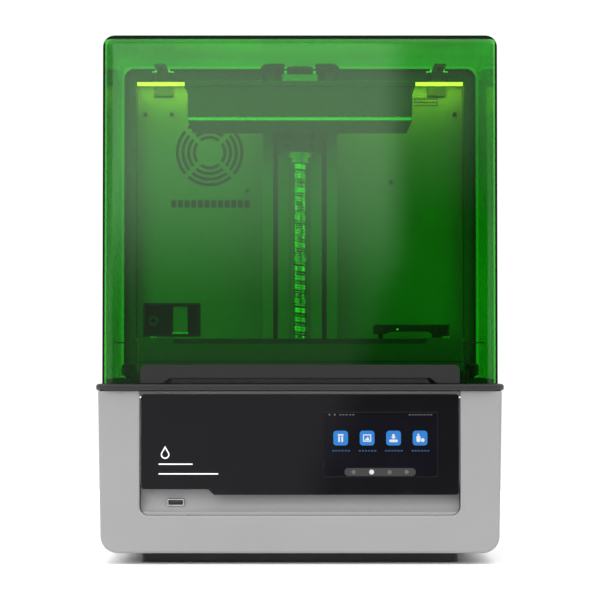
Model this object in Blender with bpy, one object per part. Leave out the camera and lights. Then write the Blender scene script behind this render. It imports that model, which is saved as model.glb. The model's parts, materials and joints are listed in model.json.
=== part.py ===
"""Resin printer with a flip-up tinted lid, a grey base housing and a black glass control panel.

Metres, +Z up. The origin is on the floor under the middle of the printer, the front faces -Y and
the right-hand side is +X. Sizes are given in millimetres times MM. Every driving size has its own
name, and whatever fits another piece is worked out from that piece's values and a named clearance.
"""

import math

import bmesh
import bpy
from mathutils import Matrix, Vector

MM = 0.001

# ---------------------------------------------------------------- clearances
GAP = 0.3 * MM            # between touching pieces
PLAY = 0.6 * MM           # around loosely fitted pieces
PAST = 2.0 * MM           # how far a cutter runs past what it cuts

# ---------------------------------------------------------------- base housing
RIM_WIDTH = 402 * MM
RIM_DEPTH = 350 * MM
RIM_HEIGHT = 7 * MM
RIM_BAND = 14 * MM        # width of the rim's ring seen from above
RIM_CORNER = 20 * MM
BASE_TOP_WIDTH = RIM_WIDTH - 6 * MM
BASE_FOOT_WIDTH = BASE_TOP_WIDTH - 5 * MM
BASE_DEPTH = 340 * MM
BASE_HEIGHT = 158.5 * MM
BASE_WALL = 2.5 * MM
BASE_CORNER = 17 * MM     # lower corners, seen from the front
PLINTH_WIDTH = RIM_WIDTH - 88 * MM
PLINTH_DEPTH = 280 * MM
PLINTH_HEIGHT = 11 * MM
PLINTH_WALL = 3 * MM
PAN_LIP = 12 * MM         # how far the pan reaches past the plinth

# ---------------------------------------------------------------- control panel
NOTCH_HALF = RIM_WIDTH / 2 - 44 * MM
NOTCH_FLOOR = PLINTH_HEIGHT + 37 * MM  # height of the lower edge of the front notch
NOTCH_CORNER = 9 * MM
NOTCH_FILLET = 2 * MM
GLASS_HALF = NOTCH_HALF - 1.4 * MM
GLASS_TOP = PLINTH_HEIGHT + BASE_HEIGHT - 2.9 * MM
GLASS_LOW = NOTCH_FLOOR + 20 * MM
GLASS_STEP = 5.5 * MM     # how much higher the glass ends at its left
GLASS_STEP_X = -(NOTCH_HALF - 70 * MM)
GLASS_THICK = 3 * MM
GLASS_SINK = 0.5 * MM     # how far the glass lies behind the base's front face
DISPLAY_WIDTH = 110.7 * MM
DISPLAY_HEIGHT = 62.6 * MM
DISPLAY_X = NOTCH_HALF - 78.3 * MM
DISPLAY_Z = (GLASS_LOW + GLASS_TOP) / 2
DISPLAY_THICK = 9 * MM
PANEL_SCOOP = 9 * MM      # depth of the scooped strip under the glass
PANEL_THICK = 6 * MM
USB_X = -(NOTCH_HALF - 35 * MM)
USB_Z = NOTCH_FLOOR + 12.4 * MM
USB_WIDTH = 16.4 * MM
USB_HEIGHT = 6.9 * MM
USB_DEPTH = 18 * MM

# ---------------------------------------------------------------- lid
LID_WIDTH = RIM_WIDTH - 12 * MM
LID_FRONT = 168 * MM      # distance of the lid's front face from the middle plane
LID_TOP = 521 * MM
LID_WALL = 3.5 * MM
LID_EDGE = 13 * MM        # radius of the lid's upright front edges
LID_EDGE_LESS = 2 * MM    # how much smaller the radius along its top is
HANDLE_WIDTH = 2 * NOTCH_HALF - 1 * MM
HANDLE_HEIGHT = 18.5 * MM
HANDLE_THICK = 3 * MM
HANDLE_CORNER = 5 * MM
GRIP_WIDTH = HANDLE_WIDTH - 51 * MM  # finger recess under the lid's handle
GRIP_HEIGHT = 5.5 * MM
GRIP_SLOPE = 7 * MM

# ---------------------------------------------------------------- rear housing
HOUSING_WIDTH = LID_WIDTH - 10 * MM
HOUSING_FRONT = 72 * MM
HOUSING_BACK = 169 * MM
HOUSING_TOP = LID_TOP - 4.5 * MM
HOUSING_WALL = 2.5 * MM
FRAME_CORNER = 3 * MM
FRAME_BAND = 11 * MM      # width of the frame around the print chamber's rear opening
FRAME_DEPTH = 16 * MM     # how far the chamber wall lies behind that frame's face
CHAMBER_SHEET = 2 * MM

# ---------------------------------------------------------------- lid hinge
HINGE_X = HOUSING_WIDTH / 2 - 40 * MM
HINGE_BACK = 6 * MM       # pin behind the rear housing's front face
HINGE_DROP = 11 * MM      # pin below the lid's top
PIN_RADIUS = 2.5 * MM
KNUCKLE_RADIUS = PIN_RADIUS + 3 * MM
KNUCKLE_WIDTH = 12 * MM
EAR_WIDTH = 4 * MM
LEAF_LENGTH = 50 * MM
LEAF_THICK = 3 * MM
HINGE_NOTCH = 24 * MM

# ---------------------------------------------------------------- chamber wall and its fittings
GRILLE_X = -(HOUSING_WIDTH / 2 - 90.6 * MM)
GRILLE_Z = HOUSING_TOP - 88.5 * MM
GRILLE_RADII = (34 * MM, 28 * MM, 22.2 * MM, 16.4 * MM)
GRILLE_SLOT = 3.2 * MM
GRILLE_SPOKE = 5 * MM
SLOT_COUNT = 12
SLOT_PITCH = 7.7 * MM
SLOT_WIDTH = 5.2 * MM
SLOT_HEIGHT = 8.4 * MM
SLOT_ROW_Z = GRILLE_Z - 56.5 * MM
FAN_SIZE = 80 * MM
FAN_DEPTH = 24 * MM
DOCK_X = -(HOUSING_WIDTH / 2 - 49.5 * MM)
DOCK_Z = PLINTH_HEIGHT + BASE_HEIGHT + 74.5 * MM
DOCK_WIDTH = 63 * MM
DOCK_HEIGHT = 37 * MM
DOCK_DEPTH = 28 * MM
DOCK_WALL = 2 * MM
LIGHT_BAR_WIDTH = HOUSING_WIDTH - 24 * MM
LIGHT_BAR_HEIGHT = 3.8 * MM
LIGHT_BAR_DEPTH = 8 * MM
LIGHT_BAR_Z = LID_TOP - HINGE_DROP - KNUCKLE_RADIUS - GAP - LIGHT_BAR_HEIGHT / 2

# ---------------------------------------------------------------- resin vat and its cradle
VAT_WIDTH = RIM_WIDTH - 76 * MM
VAT_FRONT = -150 * MM
VAT_BACK = 29 * MM
VAT_TOP = PLINTH_HEIGHT + BASE_HEIGHT + 52.5 * MM
TANK_WIDTH = VAT_WIDTH - 70 * MM  # the resin space
TANK_FRONT = -120 * MM
TANK_BACK = 24 * MM
TANK_CORNER = 12 * MM
LIP_DROP = 6 * MM         # pouring lip in the vat's front wall
LIP_WIDTH = TANK_WIDTH - 4 * MM
FILM_MARGIN = 8 * MM
FILM_FRAME_THICK = 4 * MM
FILM_THICK = 0.8 * MM
CRADLE_THICK = 3.4 * MM
CRADLE_RIB = 9 * MM       # height of the cradle's side ribs above its ring
CRADLE_MARGIN = 4 * MM
VAT_GRIP_FRONT = -45 * MM
VAT_GRIP_WIDTH = 70 * MM
VAT_GRIP_DEPTH = 16 * MM
LATCH_X = VAT_WIDTH / 2 + 14 * MM
LATCH_Y = -60 * MM
LATCH_RADIUS = 7 * MM
LATCH_HEIGHT = 12 * MM
LATCH_ARM = 6 * MM
LATCH_SWEEP = 10.5 * MM   # half the gap in the cradle's rib that the latch turns through
LATCH_Z = PLINTH_HEIGHT + BASE_HEIGHT + 14.5 * MM
POST_RADIUS = 3 * MM

# ---------------------------------------------------------------- deck, screen and light engine
DECK_THICK = 5.5 * MM
SCREEN_WIDTH = TANK_WIDTH - 15 * MM
SCREEN_FRONT = -117 * MM
SCREEN_BACK = 23 * MM
SCREEN_THICK = 7 * MM
SCREEN_PROUD = 3.5 * MM
LIGHT_BOX_HEIGHT = BASE_HEIGHT - 84.5 * MM
LIGHT_BOX_WALL = 2 * MM
LENS_THICK = 4 * MM
BOARD_THICK = 3 * MM
SINK_HEIGHT = 24 * MM
SINK_FINS = 15
SINK_FIN = 2 * MM
SINK_BASE = 6 * MM

# ---------------------------------------------------------------- z axis
COLUMN_WIDTH = 82 * MM
COLUMN_FRONT = 60 * MM
COLUMN_TOP = LID_TOP - 42 * MM
T_SLOT_X = 26.4 * MM
T_SLOT_MOUTH = 5 * MM
T_SLOT_LIP = 4 * MM
T_SLOT_WIDTH = 18 * MM
T_SLOT_DEPTH = 16 * MM
RAIL_WIDTH = 9 * MM
RAIL_THICK = 6 * MM
SCREW_Y = 48 * MM
SCREW_RADIUS = 8 * MM
JOURNAL_RADIUS = 5 * MM
CAP_THICK = 12 * MM
MOTOR_SIZE = 42 * MM
MOTOR_TOP = PLINTH_HEIGHT + BASE_HEIGHT - 63.5 * MM
MOTOR_HEIGHT = 44 * MM
MOTOR_SHAFT = 4 * MM
SHAFT_LENGTH = 22 * MM
COUPLER_RADIUS = 10 * MM
COUPLER_FOOT = MOTOR_TOP + 7 * MM
COUPLER_TOP = COUPLER_FOOT + 31 * MM
SCREW_FOOT = COUPLER_TOP + 4 * MM
WELL_HALF = 34 * MM       # opening in the deck that the carriage sinks into
CARRIAGE_WIDTH = 60 * MM
CARRIAGE_NECK = 49.4 * MM
CARRIAGE_FRONT = 32 * MM
CARRIAGE_TOP = COLUMN_TOP - 3 * MM
CARRIAGE_FOOT = CARRIAGE_TOP - 52 * MM
CARRIAGE_SHOULDER = CARRIAGE_TOP - 40 * MM
NUT_RADIUS = SCREW_RADIUS + 5.3 * MM
NUT_HEIGHT = 11.5 * MM
BLOCK_HEIGHT = 38 * MM
ARM_WIDTH = 40 * MM
ARM_FOOT = CARRIAGE_TOP + 9 * MM
ARM_THICK = 10 * MM
ARM_FRONT = -62 * MM

# ---------------------------------------------------------------- build platform
PLATE_WIDTH = TANK_WIDTH - 29 * MM
PLATE_FRONT = -112 * MM
PLATE_BACK = 18 * MM
PLATE_FOOT = ARM_FOOT - 43.2 * MM
PLATE_THICK = 4.3 * MM
PLATFORM_TOP = ARM_FOOT - 3.5 * MM
FLANGE_THICK = 5.5 * MM
FLANGE_REACH = 3.4 * MM
PLATFORM_WALL = 4 * MM
YOKE_FRONT = -76 * MM
YOKE_BACK = -20 * MM
YOKE_HALF = 37 * MM
YOKE_BASE = 3 * MM
LOOP_OUT = 41.5 * MM
LOOP_IN = 15.8 * MM
LOOP_TOP = ARM_FOOT + 19 * MM
LOOP_STRIP = 4.5 * MM
LOOP_DEPTH = 14 * MM
LOOP_CORNER = 9 * MM
JAW_WIDTH = 6 * MM
JAW_LIP = 3 * MM
PADDLE_HALF = 13.2 * MM
PADDLE_FRONT = -75 * MM
PADDLE_PIVOT_Y = -40 * MM
PADDLE_PIVOT_Z = ARM_FOOT + 14 * MM
PADDLE_THICK = 3.6 * MM
CHEEK_WIDTH = 3 * MM

# ---------------------------------------------------------------- feed arm
FEED_PIVOT_X = HOUSING_WIDTH / 2 - 38 * MM
FEED_PIVOT_Z = VAT_TOP + 11 * MM
FEED_Y = 49 * MM
FEED_WIDTH = 10 * MM
FEED_HEIGHT = 10 * MM
FEED_TIP_X = FEED_PIVOT_X - 73 * MM
FEED_POST_HALF = 9 * MM
FEED_EAR = 4 * MM
NOZZLE_RADIUS = 2.6 * MM
NOZZLE_DROP = 6 * MM

# ---------------------------------------------------------------- rear of the base
COVER_WIDTH = RIM_WIDTH - 102 * MM
COVER_FOOT = PLINTH_HEIGHT + 19 * MM
COVER_TOP = PLINTH_HEIGHT + BASE_HEIGHT - 19.5 * MM
COVER_THICK = 2 * MM
INLET_X = -(COVER_WIDTH / 2 - 40 * MM)
INLET_Z = COVER_FOOT + 40 * MM
INLET_WIDTH = 50 * MM
INLET_HEIGHT = 60 * MM
INLET_DEPTH = 30 * MM
ROCKER_HEIGHT = 20 * MM
ROCKER_WIDTH = 26 * MM
ROCKER_THICK = 9 * MM
BASE_FAN_X = COVER_WIDTH / 2 - 50 * MM
BASE_FAN_Z = (COVER_FOOT + COVER_TOP) / 2
BASE_FAN_SIZE = 70 * MM
SUPPLY_X = -(BASE_FOOT_WIDTH / 2 - 55.5 * MM)
SUPPLY_OUT = 36 * MM      # how far the supply reaches outwards from SUPPLY_X
SUPPLY_IN = 14 * MM
SUPPLY_SPAN = (-100 * MM, 110 * MM)
SUPPLY_HEIGHT = 60 * MM
MAINBOARD_OUT = BASE_FOOT_WIDTH / 2 - 19.5 * MM
MAINBOARD_WIDTH = 46 * MM
MAINBOARD_SPAN = (-110 * MM, 90 * MM)
MAINBOARD_HEIGHT = 14 * MM
STAND_OFF = 8 * MM        # height of the boards above the base's floor

# ---------------------------------------------------------------- worked out from the sizes above
BASE_FOOT = PLINTH_HEIGHT
BASE_TOP = BASE_FOOT + BASE_HEIGHT
RIM_FOOT = BASE_TOP + GAP
RIM_TOP = BASE_TOP + RIM_HEIGHT
BASE_FRONT = -BASE_DEPTH / 2
BASE_BACK = BASE_DEPTH / 2
LID_FOOT = RIM_TOP + GAP
LID_BACK = HOUSING_FRONT - GAP
DECK_TOP = RIM_TOP
DECK_FOOT = DECK_TOP - DECK_THICK
DECK_HALF = RIM_WIDTH / 2 - RIM_BAND - GAP
DECK_FRONT = -RIM_DEPTH / 2 + RIM_BAND + GAP
DECK_BACK = RIM_DEPTH / 2 - RIM_BAND + 4 * MM - GAP
ON_DECK = DECK_TOP + GAP
SCREEN_TOP = DECK_TOP + SCREEN_PROUD
SCREEN_MIDDLE = (SCREEN_FRONT + SCREEN_BACK) / 2
HINGE_Y = HOUSING_FRONT + HINGE_BACK
HINGE_Z = LID_TOP - HINGE_DROP
CHAMBER_Y = HOUSING_FRONT + FRAME_DEPTH
CHAMBER_HALF = HOUSING_WIDTH / 2 - FRAME_BAND
CHAMBER_FOOT = ON_DECK
CHAMBER_TOP = HOUSING_TOP - FRAME_BAND
CRADLE_TOP = ON_DECK + CRADLE_THICK
VAT_FOOT = CRADLE_TOP + GAP
COLUMN_BACK = CHAMBER_Y - GAP
COLUMN_FOOT = ON_DECK
CARRIAGE_BACK = COLUMN_FRONT - PLAY
GLASS_FRONT = BASE_FRONT + GLASS_SINK
GLASS_BACK = GLASS_FRONT + GLASS_THICK
PANEL_FRONT = GLASS_BACK + GAP
LIGHT_BOX_TOP = DECK_FOOT - GAP
LENS_TOP = LIGHT_BOX_TOP - LIGHT_BOX_HEIGHT - GAP
BOARD_TOP = LENS_TOP - LENS_THICK - 2 * MM
SINK_TOP = BOARD_TOP - BOARD_THICK - GAP
LED_FAN_TOP = SINK_TOP - SINK_HEIGHT - GAP


# ---------------------------------------------------------------- scene and materials
def clear_scene():
    """Remove whatever the file opened with."""
    for old in list(bpy.data.objects):
        bpy.data.objects.remove(old, do_unlink=True)


def new_collection(name):
    made = bpy.data.collections.new(name)
    bpy.context.scene.collection.children.link(made)
    return made


def finish(name, colour, roughness, metallic=0.0, see_through=0.0):
    """A Principled material."""
    made = bpy.data.materials.new(name)
    made.use_nodes = True
    shader = made.node_tree.nodes["Principled BSDF"]
    shader.inputs["Base Color"].default_value = (*colour, 1.0)
    shader.inputs["Roughness"].default_value = roughness
    shader.inputs["Metallic"].default_value = metallic
    shader.inputs["Transmission Weight"].default_value = see_through
    made.diffuse_color = (*colour, 1.0)
    return made


clear_scene()
PARTS = new_collection("resin_printer")
CUTTERS = new_collection("cutters")

GREY_SHELL = finish("grey_shell", (0.43, 0.43, 0.43), 0.45)
BLACK_SHELL = finish("black_shell", (0.02, 0.02, 0.02), 0.5)
BLACK_GLASS = finish("black_glass", (0.008, 0.008, 0.01), 0.08)
TINTED_LID = finish("tinted_lid", (0.02, 0.45, 0.03), 0.05, 0.0, 0.9)
DARK_TRIM = finish("dark_trim", (0.035, 0.036, 0.035), 0.5)
ALUMINIUM = finish("aluminium", (0.62, 0.63, 0.64), 0.35, 1.0)
ANODISED = finish("anodised", (0.06, 0.06, 0.065), 0.4, 0.8)
STEEL = finish("steel", (0.55, 0.55, 0.56), 0.25, 1.0)
CIRCUIT = finish("circuit", (0.02, 0.12, 0.05), 0.5)
CLEAR_LENS = finish("clear_lens", (0.8, 0.82, 0.85), 0.05, 0.0, 0.9)
SCREEN_GLASS = finish("screen_glass", (0.01, 0.01, 0.014), 0.05)
LIGHT_STRIP = finish("light_strip", (0.9, 0.95, 0.5), 0.3)


# ---------------------------------------------------------------- shapes
def add_object(name, bm, origin, material=None):
    """Turn a bmesh made in world coordinates into an object whose origin is at origin."""
    bmesh.ops.translate(bm, verts=bm.verts, vec=-Vector(origin))
    mesh = bpy.data.meshes.new(name)
    bm.to_mesh(mesh)
    bm.free()
    made = bpy.data.objects.new(name, mesh)
    made.location = origin
    if material is None:
        CUTTERS.objects.link(made)
        made.hide_render = True
        made.display_type = "WIRE"
    else:
        mesh.materials.append(material)
        PARTS.objects.link(made)
    return made


def middle(x, y, z):
    return Vector((sum(x) / 2, sum(y) / 2, sum(z) / 2))


def soften(bm, radius, segments, wanted):
    """Round the edges that wanted() picks by their two ends."""
    picked = [e for e in bm.edges if wanted(e.verts[0].co, e.verts[1].co)]
    bmesh.ops.bevel(bm, geom=picked, offset=radius, segments=segments, profile=0.5,
                    affect="EDGES", clamp_overlap=True)


def box(name, x, y, z, material=None, radius=0.0, segments=2, wanted=None):
    """A box between the given (low, high) pairs, with rounded edges where a radius is given."""
    bm = bmesh.new()
    bmesh.ops.create_cube(bm, size=1.0)
    size = Matrix.Diagonal((x[1] - x[0], y[1] - y[0], z[1] - z[0], 1.0))
    bmesh.ops.transform(bm, matrix=Matrix.Translation(middle(x, y, z)) @ size, verts=bm.verts)
    if radius:
        soften(bm, radius, segments, wanted or (lambda a, b: True))
    return add_object(name, bm, middle(x, y, z), material)


TURN = {
    "X": Matrix(((0, 0, 1, 0), (1, 0, 0, 0), (0, 1, 0, 0), (0, 0, 0, 1))),
    "Y": Matrix(((1, 0, 0, 0), (0, 0, -1, 0), (0, 1, 0, 0), (0, 0, 0, 1))),
    "Z": Matrix.Identity(4),
}
ALONG = {"X": Vector((1, 0, 0)), "Y": Vector((0, 1, 0)), "Z": Vector((0, 0, 1))}


def outline_mesh(points, low, high, axis):
    """A bmesh of a flat outline, given in the two other axes, run along axis from low to high."""
    data = bpy.data.curves.new("outline", "CURVE")
    data.dimensions = "2D"
    data.fill_mode = "BOTH"
    data.extrude = (high - low) / 2
    spline = data.splines.new("POLY")
    spline.points.add(len(points) - 1)
    for point, (u, v) in zip(spline.points, points):
        point.co = (u, v, 0.0, 1.0)
    spline.use_cyclic_u = True
    curve = bpy.data.objects.new("outline", data)
    CUTTERS.objects.link(curve)
    graph = bpy.context.evaluated_depsgraph_get()
    mesh = bpy.data.meshes.new_from_object(curve.evaluated_get(graph))
    bm = bmesh.new()
    bm.from_mesh(mesh)
    bmesh.ops.remove_doubles(bm, verts=bm.verts, dist=0.00001)
    place = Matrix.Translation(ALONG[axis] * (low + high) / 2) @ TURN[axis]
    bmesh.ops.transform(bm, matrix=place, verts=bm.verts)
    bmesh.ops.recalc_face_normals(bm, faces=bm.faces)
    bpy.data.objects.remove(curve, do_unlink=True)
    bpy.data.meshes.remove(mesh)
    return bm


def prism(name, points, low, high, axis, material=None, radius=0.0, segments=3, wanted=None):
    """An outline run along an axis; its origin is the middle of its box."""
    bm = outline_mesh(points, low, high, axis)
    if radius:
        bmesh.ops.dissolve_limit(bm, angle_limit=0.001, verts=bm.verts, edges=bm.edges)
        soften(bm, radius, segments, wanted)
    corners = [v.co for v in bm.verts]
    low_corner = Vector(min(c[i] for c in corners) for i in range(3))
    high_corner = Vector(max(c[i] for c in corners) for i in range(3))
    return add_object(name, bm, (low_corner + high_corner) / 2, material)


def rod(name, centre, radius, low, high, axis, material=None, sides=24, tip=None):
    """A round bar along an axis; centre gives the two other coordinates, tip its far radius."""
    bm = bmesh.new()
    far = radius if tip is None else tip
    bmesh.ops.create_cone(bm, cap_ends=True, segments=sides, radius1=radius, radius2=far,
                          depth=high - low)
    spot = TURN[axis] @ Vector((centre[0], centre[1], 0.0))
    spot = spot + ALONG[axis] * (low + high) / 2
    turn = TURN[axis].copy()
    if axis == "Y":
        turn = turn @ Matrix.Rotation(math.pi, 4, "X")
    bmesh.ops.transform(bm, matrix=Matrix.Translation(spot) @ turn, verts=bm.verts)
    made = add_object(name, bm, spot, material)
    round_off(made)
    return made


def round_off(piece):
    """Shade smooth except at sharp edges."""
    piece.data.shade_smooth()
    piece.data.set_sharp_from_angle(angle=math.radians(35))


def arc(cu, cv, radius, start, end, steps):
    """Points along an arc, with angles in degrees."""
    turns = [math.radians(start + (end - start) * i / steps) for i in range(steps + 1)]
    return [(cu + radius * math.cos(t), cv + radius * math.sin(t)) for t in turns]


def rounded(u, v, radii, steps=5):
    """A rectangle outline; radii are those at its low-low, high-low, high-high and low-high corners."""
    corners = ((u[0], v[0], 1, 1, 180), (u[1], v[0], -1, 1, 270),
               (u[1], v[1], -1, -1, 0), (u[0], v[1], 1, -1, 90))
    points = []
    for (cu, cv, su, sv, start), radius in zip(corners, radii):
        if radius:
            points += arc(cu + su * radius, cv + sv * radius, radius, start, start + 90, steps)
        else:
            points.append((cu, cv))
    return points


def change(piece, operation, others):
    for number, other in enumerate(others):
        step = piece.modifiers.new(f"{operation.lower()}_{number}", "BOOLEAN")
        step.operation = operation
        step.solver = "EXACT"
        step.object = other


def cut(piece, *cutters):
    """Take the cutters out of a piece."""
    change(piece, "DIFFERENCE", cutters)
    return piece


def join(piece, *extras):
    """Add the extras, which stay with the cutters, to a piece."""
    change(piece, "UNION", extras)
    return piece


def pivot(name, place, parent=None):
    """An empty on a joint's axis."""
    made = bpy.data.objects.new(name, None)
    made.empty_display_size = 0.02
    made.location = place
    PARTS.objects.link(made)
    if parent:
        hang(made, parent)
    return made


def hang(piece, parent):
    """Parent a piece where it stands."""
    bpy.context.view_layer.update()
    piece.parent = parent
    piece.matrix_parent_inverse = parent.matrix_world.inverted()


def around(pair, amount):
    """A (low, high) pair widened by amount at both ends."""
    return (pair[0] - amount, pair[1] + amount)


def both(half):
    return (-half, half)


# ---------------------------------------------------------------- base
def base_outline(inset):
    """The base seen from the front: it narrows downwards and its lower corners are round."""
    top = BASE_TOP_WIDTH / 2 - inset
    foot = BASE_FOOT_WIDTH / 2 - inset
    low = BASE_FOOT + inset
    corner = BASE_CORNER - inset
    points = arc(-foot + corner, low + corner, corner, 180, 270, 6)
    points += arc(foot - corner, low + corner, corner, 270, 360, 6)
    return points + [(top, BASE_TOP), (-top, BASE_TOP)]


def build_base():
    foot = (-PLINTH_WIDTH / 2, PLINTH_WIDTH / 2)
    plinth = prism("foot_plinth", rounded(foot, both(PLINTH_DEPTH / 2), (8 * MM,) * 4), 0.0,
                   PLINTH_HEIGHT - GAP, "Z", BLACK_SHELL)
    pan_top = BASE_FOOT + BASE_WALL + GAP
    pan = box("pan", around(foot, PAN_LIP), around(both(PLINTH_DEPTH / 2), PAN_LIP),
              (pan_top, pan_top + BASE_WALL))
    neck = box("pan_neck", around(foot, -6 * MM), around(both(PLINTH_DEPTH / 2), -6 * MM),
               (PLINTH_HEIGHT / 2, pan_top + BASE_WALL / 2))
    hollow = box("plinth_hollow", around(foot, -9 * MM), around(both(PLINTH_DEPTH / 2), -9 * MM),
                 (-PAST, PLINTH_HEIGHT - PLINTH_WALL))
    cut(join(plinth, neck, pan), hollow)

    shell = prism("base_shell", base_outline(0.0), BASE_FRONT, BASE_BACK, "Y", GREY_SHELL,
                  3 * MM, 2, lambda a, b: abs(a.y - b.y) < MM and abs(abs(a.y) - BASE_BACK) < MM
                  and not (a.z > BASE_TOP - MM and b.z > BASE_TOP - MM))
    inside = prism("base_inside", base_outline(BASE_WALL)[:-2] +
                   [(BASE_TOP_WIDTH / 2 - BASE_WALL, BASE_TOP + PAST),
                    (-BASE_TOP_WIDTH / 2 + BASE_WALL, BASE_TOP + PAST)],
                   BASE_FRONT + BASE_WALL, BASE_BACK - BASE_WALL, "Y")
    well = box("base_well", around(foot, -5 * MM), around(both(PLINTH_DEPTH / 2), -5 * MM),
               (BASE_FOOT - PAST, BASE_FOOT + BASE_WALL + PAST))
    notch = prism("front_notch", rounded(both(NOTCH_HALF), (NOTCH_FLOOR, BASE_TOP + PAST),
                                         (NOTCH_CORNER, NOTCH_CORNER, 0, 0)),
                  BASE_FRONT - PAST, BASE_FRONT + 2 * BASE_WALL, "Y")
    flare = prism("notch_flare",
                  rounded(both(NOTCH_HALF + NOTCH_FILLET), (NOTCH_FLOOR - NOTCH_FILLET, BASE_TOP + PAST),
                          (NOTCH_CORNER + NOTCH_FILLET, NOTCH_CORNER + NOTCH_FILLET, 0, 0)),
                  BASE_FRONT - PAST, BASE_FRONT + 0.8 * MM, "Y")
    opening = box("cover_opening", around(both(COVER_WIDTH / 2), -6 * MM),
                  (BASE_BACK - 2 * BASE_WALL, BASE_BACK + PAST),
                  (COVER_FOOT + 6 * MM, COVER_TOP - 6 * MM))
    seat = box("cover_seat", both(COVER_WIDTH / 2 + GAP),
               (BASE_BACK - COVER_THICK + 0.5 * MM, BASE_BACK + PAST),
               (COVER_FOOT - GAP, COVER_TOP + GAP))
    cut(shell, inside, well, notch, flare, opening, seat)

    rim = prism("rim_frame", rounded(both(RIM_WIDTH / 2), both(RIM_DEPTH / 2), (RIM_CORNER,) * 4, 6),
                RIM_FOOT, RIM_TOP, "Z", BLACK_SHELL, 3.2 * MM, 3,
                lambda a, b: abs(a.z - b.z) < 0.1 * MM)
    rim_hole = prism("rim_hole",
                     rounded(both(DECK_HALF + GAP), (DECK_FRONT - GAP, DECK_BACK + GAP),
                             (RIM_CORNER - 12 * MM,) * 4),
                     RIM_FOOT - PAST, RIM_TOP + PAST, "Z")
    cut(rim, rim_hole)


def build_control_panel():
    side = NOTCH_HALF - GAP
    low = NOTCH_FLOOR + GAP
    scoop_back = PANEL_FRONT + PANEL_SCOOP
    scoop_top = GLASS_LOW + GLASS_STEP + 4 * MM
    top = BASE_TOP - GAP
    profile = [(PANEL_FRONT, top), (PANEL_FRONT, scoop_top), (scoop_back, scoop_top),
               (PANEL_FRONT - 1.2 * MM, low + 3 * MM), (PANEL_FRONT - 1.2 * MM, low),
               (scoop_back + PANEL_THICK, low), (scoop_back + PANEL_THICK, top)]
    panel = prism("fascia_panel", profile, -side, side, "X", GREY_SHELL)
    corner_trim = [
        cut(box(f"panel_corner_{s}", sorted((s * side, s * (side - NOTCH_CORNER))),
                (BASE_FRONT - PAST, scoop_back + PANEL_THICK + PAST), (low, low + NOTCH_CORNER)),
            rod(f"panel_round_{s}", (s * (side - NOTCH_CORNER), low + NOTCH_CORNER), NOTCH_CORNER,
                BASE_FRONT - 2 * PAST, scoop_back + PANEL_THICK + 2 * PAST, "Y", None, 32))
        for s in (-1, 1)]
    shell_clear = box("shell_clear", (-side - PAST, side + PAST),
                      (BASE_FRONT - PAST, PANEL_FRONT - 2 * MM), (low - PAST, top + PAST))
    display_hole = box("display_hole", around((DISPLAY_X - DISPLAY_WIDTH / 2,
                                               DISPLAY_X + DISPLAY_WIDTH / 2), GAP),
                       (BASE_FRONT - PAST, scoop_back + PANEL_THICK + PAST),
                       around((DISPLAY_Z - DISPLAY_HEIGHT / 2, DISPLAY_Z + DISPLAY_HEIGHT / 2), GAP))
    usb_hole = box("usb_hole", (USB_X - USB_WIDTH / 2, USB_X + USB_WIDTH / 2),
                   (BASE_FRONT - PAST, scoop_back + PANEL_THICK + PAST),
                   (USB_Z - USB_HEIGHT / 2, USB_Z + USB_HEIGHT / 2))
    cut(panel, *corner_trim, display_hole, usb_hole, shell_clear)

    step = GLASS_STEP
    left = -GLASS_HALF
    right = GLASS_HALF
    corner = 3 * MM
    glass_points = arc(left + corner, GLASS_LOW + step + corner, corner, 180, 270, 3)
    glass_points += [(GLASS_STEP_X - step / 2, GLASS_LOW + step), (GLASS_STEP_X + step / 2, GLASS_LOW)]
    glass_points += arc(right - corner, GLASS_LOW + corner, corner, 270, 360, 3)
    glass_points += arc(right - corner, GLASS_TOP - corner, corner, 0, 90, 3)
    glass_points += arc(left + corner, GLASS_TOP - corner, corner, 90, 180, 3)
    glass = prism("front_glass", glass_points, GLASS_FRONT, GLASS_BACK, "Y", BLACK_GLASS)
    cut(glass, display_hole)
    box("touch_display", (DISPLAY_X - DISPLAY_WIDTH / 2, DISPLAY_X + DISPLAY_WIDTH / 2),
        (GLASS_FRONT + 0.2 * MM, GLASS_FRONT + DISPLAY_THICK),
        (DISPLAY_Z - DISPLAY_HEIGHT / 2, DISPLAY_Z + DISPLAY_HEIGHT / 2), SCREEN_GLASS)
    port = box("usb_port", (USB_X - USB_WIDTH / 2 + GAP, USB_X + USB_WIDTH / 2 - GAP),
               (scoop_back - 6 * MM, scoop_back - 6 * MM + USB_DEPTH),
               (USB_Z - USB_HEIGHT / 2 + GAP, USB_Z + USB_HEIGHT / 2 - GAP), STEEL)
    socket = box("usb_socket", both(USB_WIDTH / 2 - 1.4 * MM), (-PAST, USB_DEPTH - 3 * MM),
                 both(USB_HEIGHT / 2 - 1.1 * MM))
    tongue = box("usb_tongue", both(USB_WIDTH / 2 - 2.6 * MM), (1 * MM, USB_DEPTH), (0.0, 1.4 * MM))
    for inner in (socket, tongue):
        inner.location += Vector((USB_X, scoop_back - 6 * MM, USB_Z))
    join(cut(port, socket), tongue)


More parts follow.
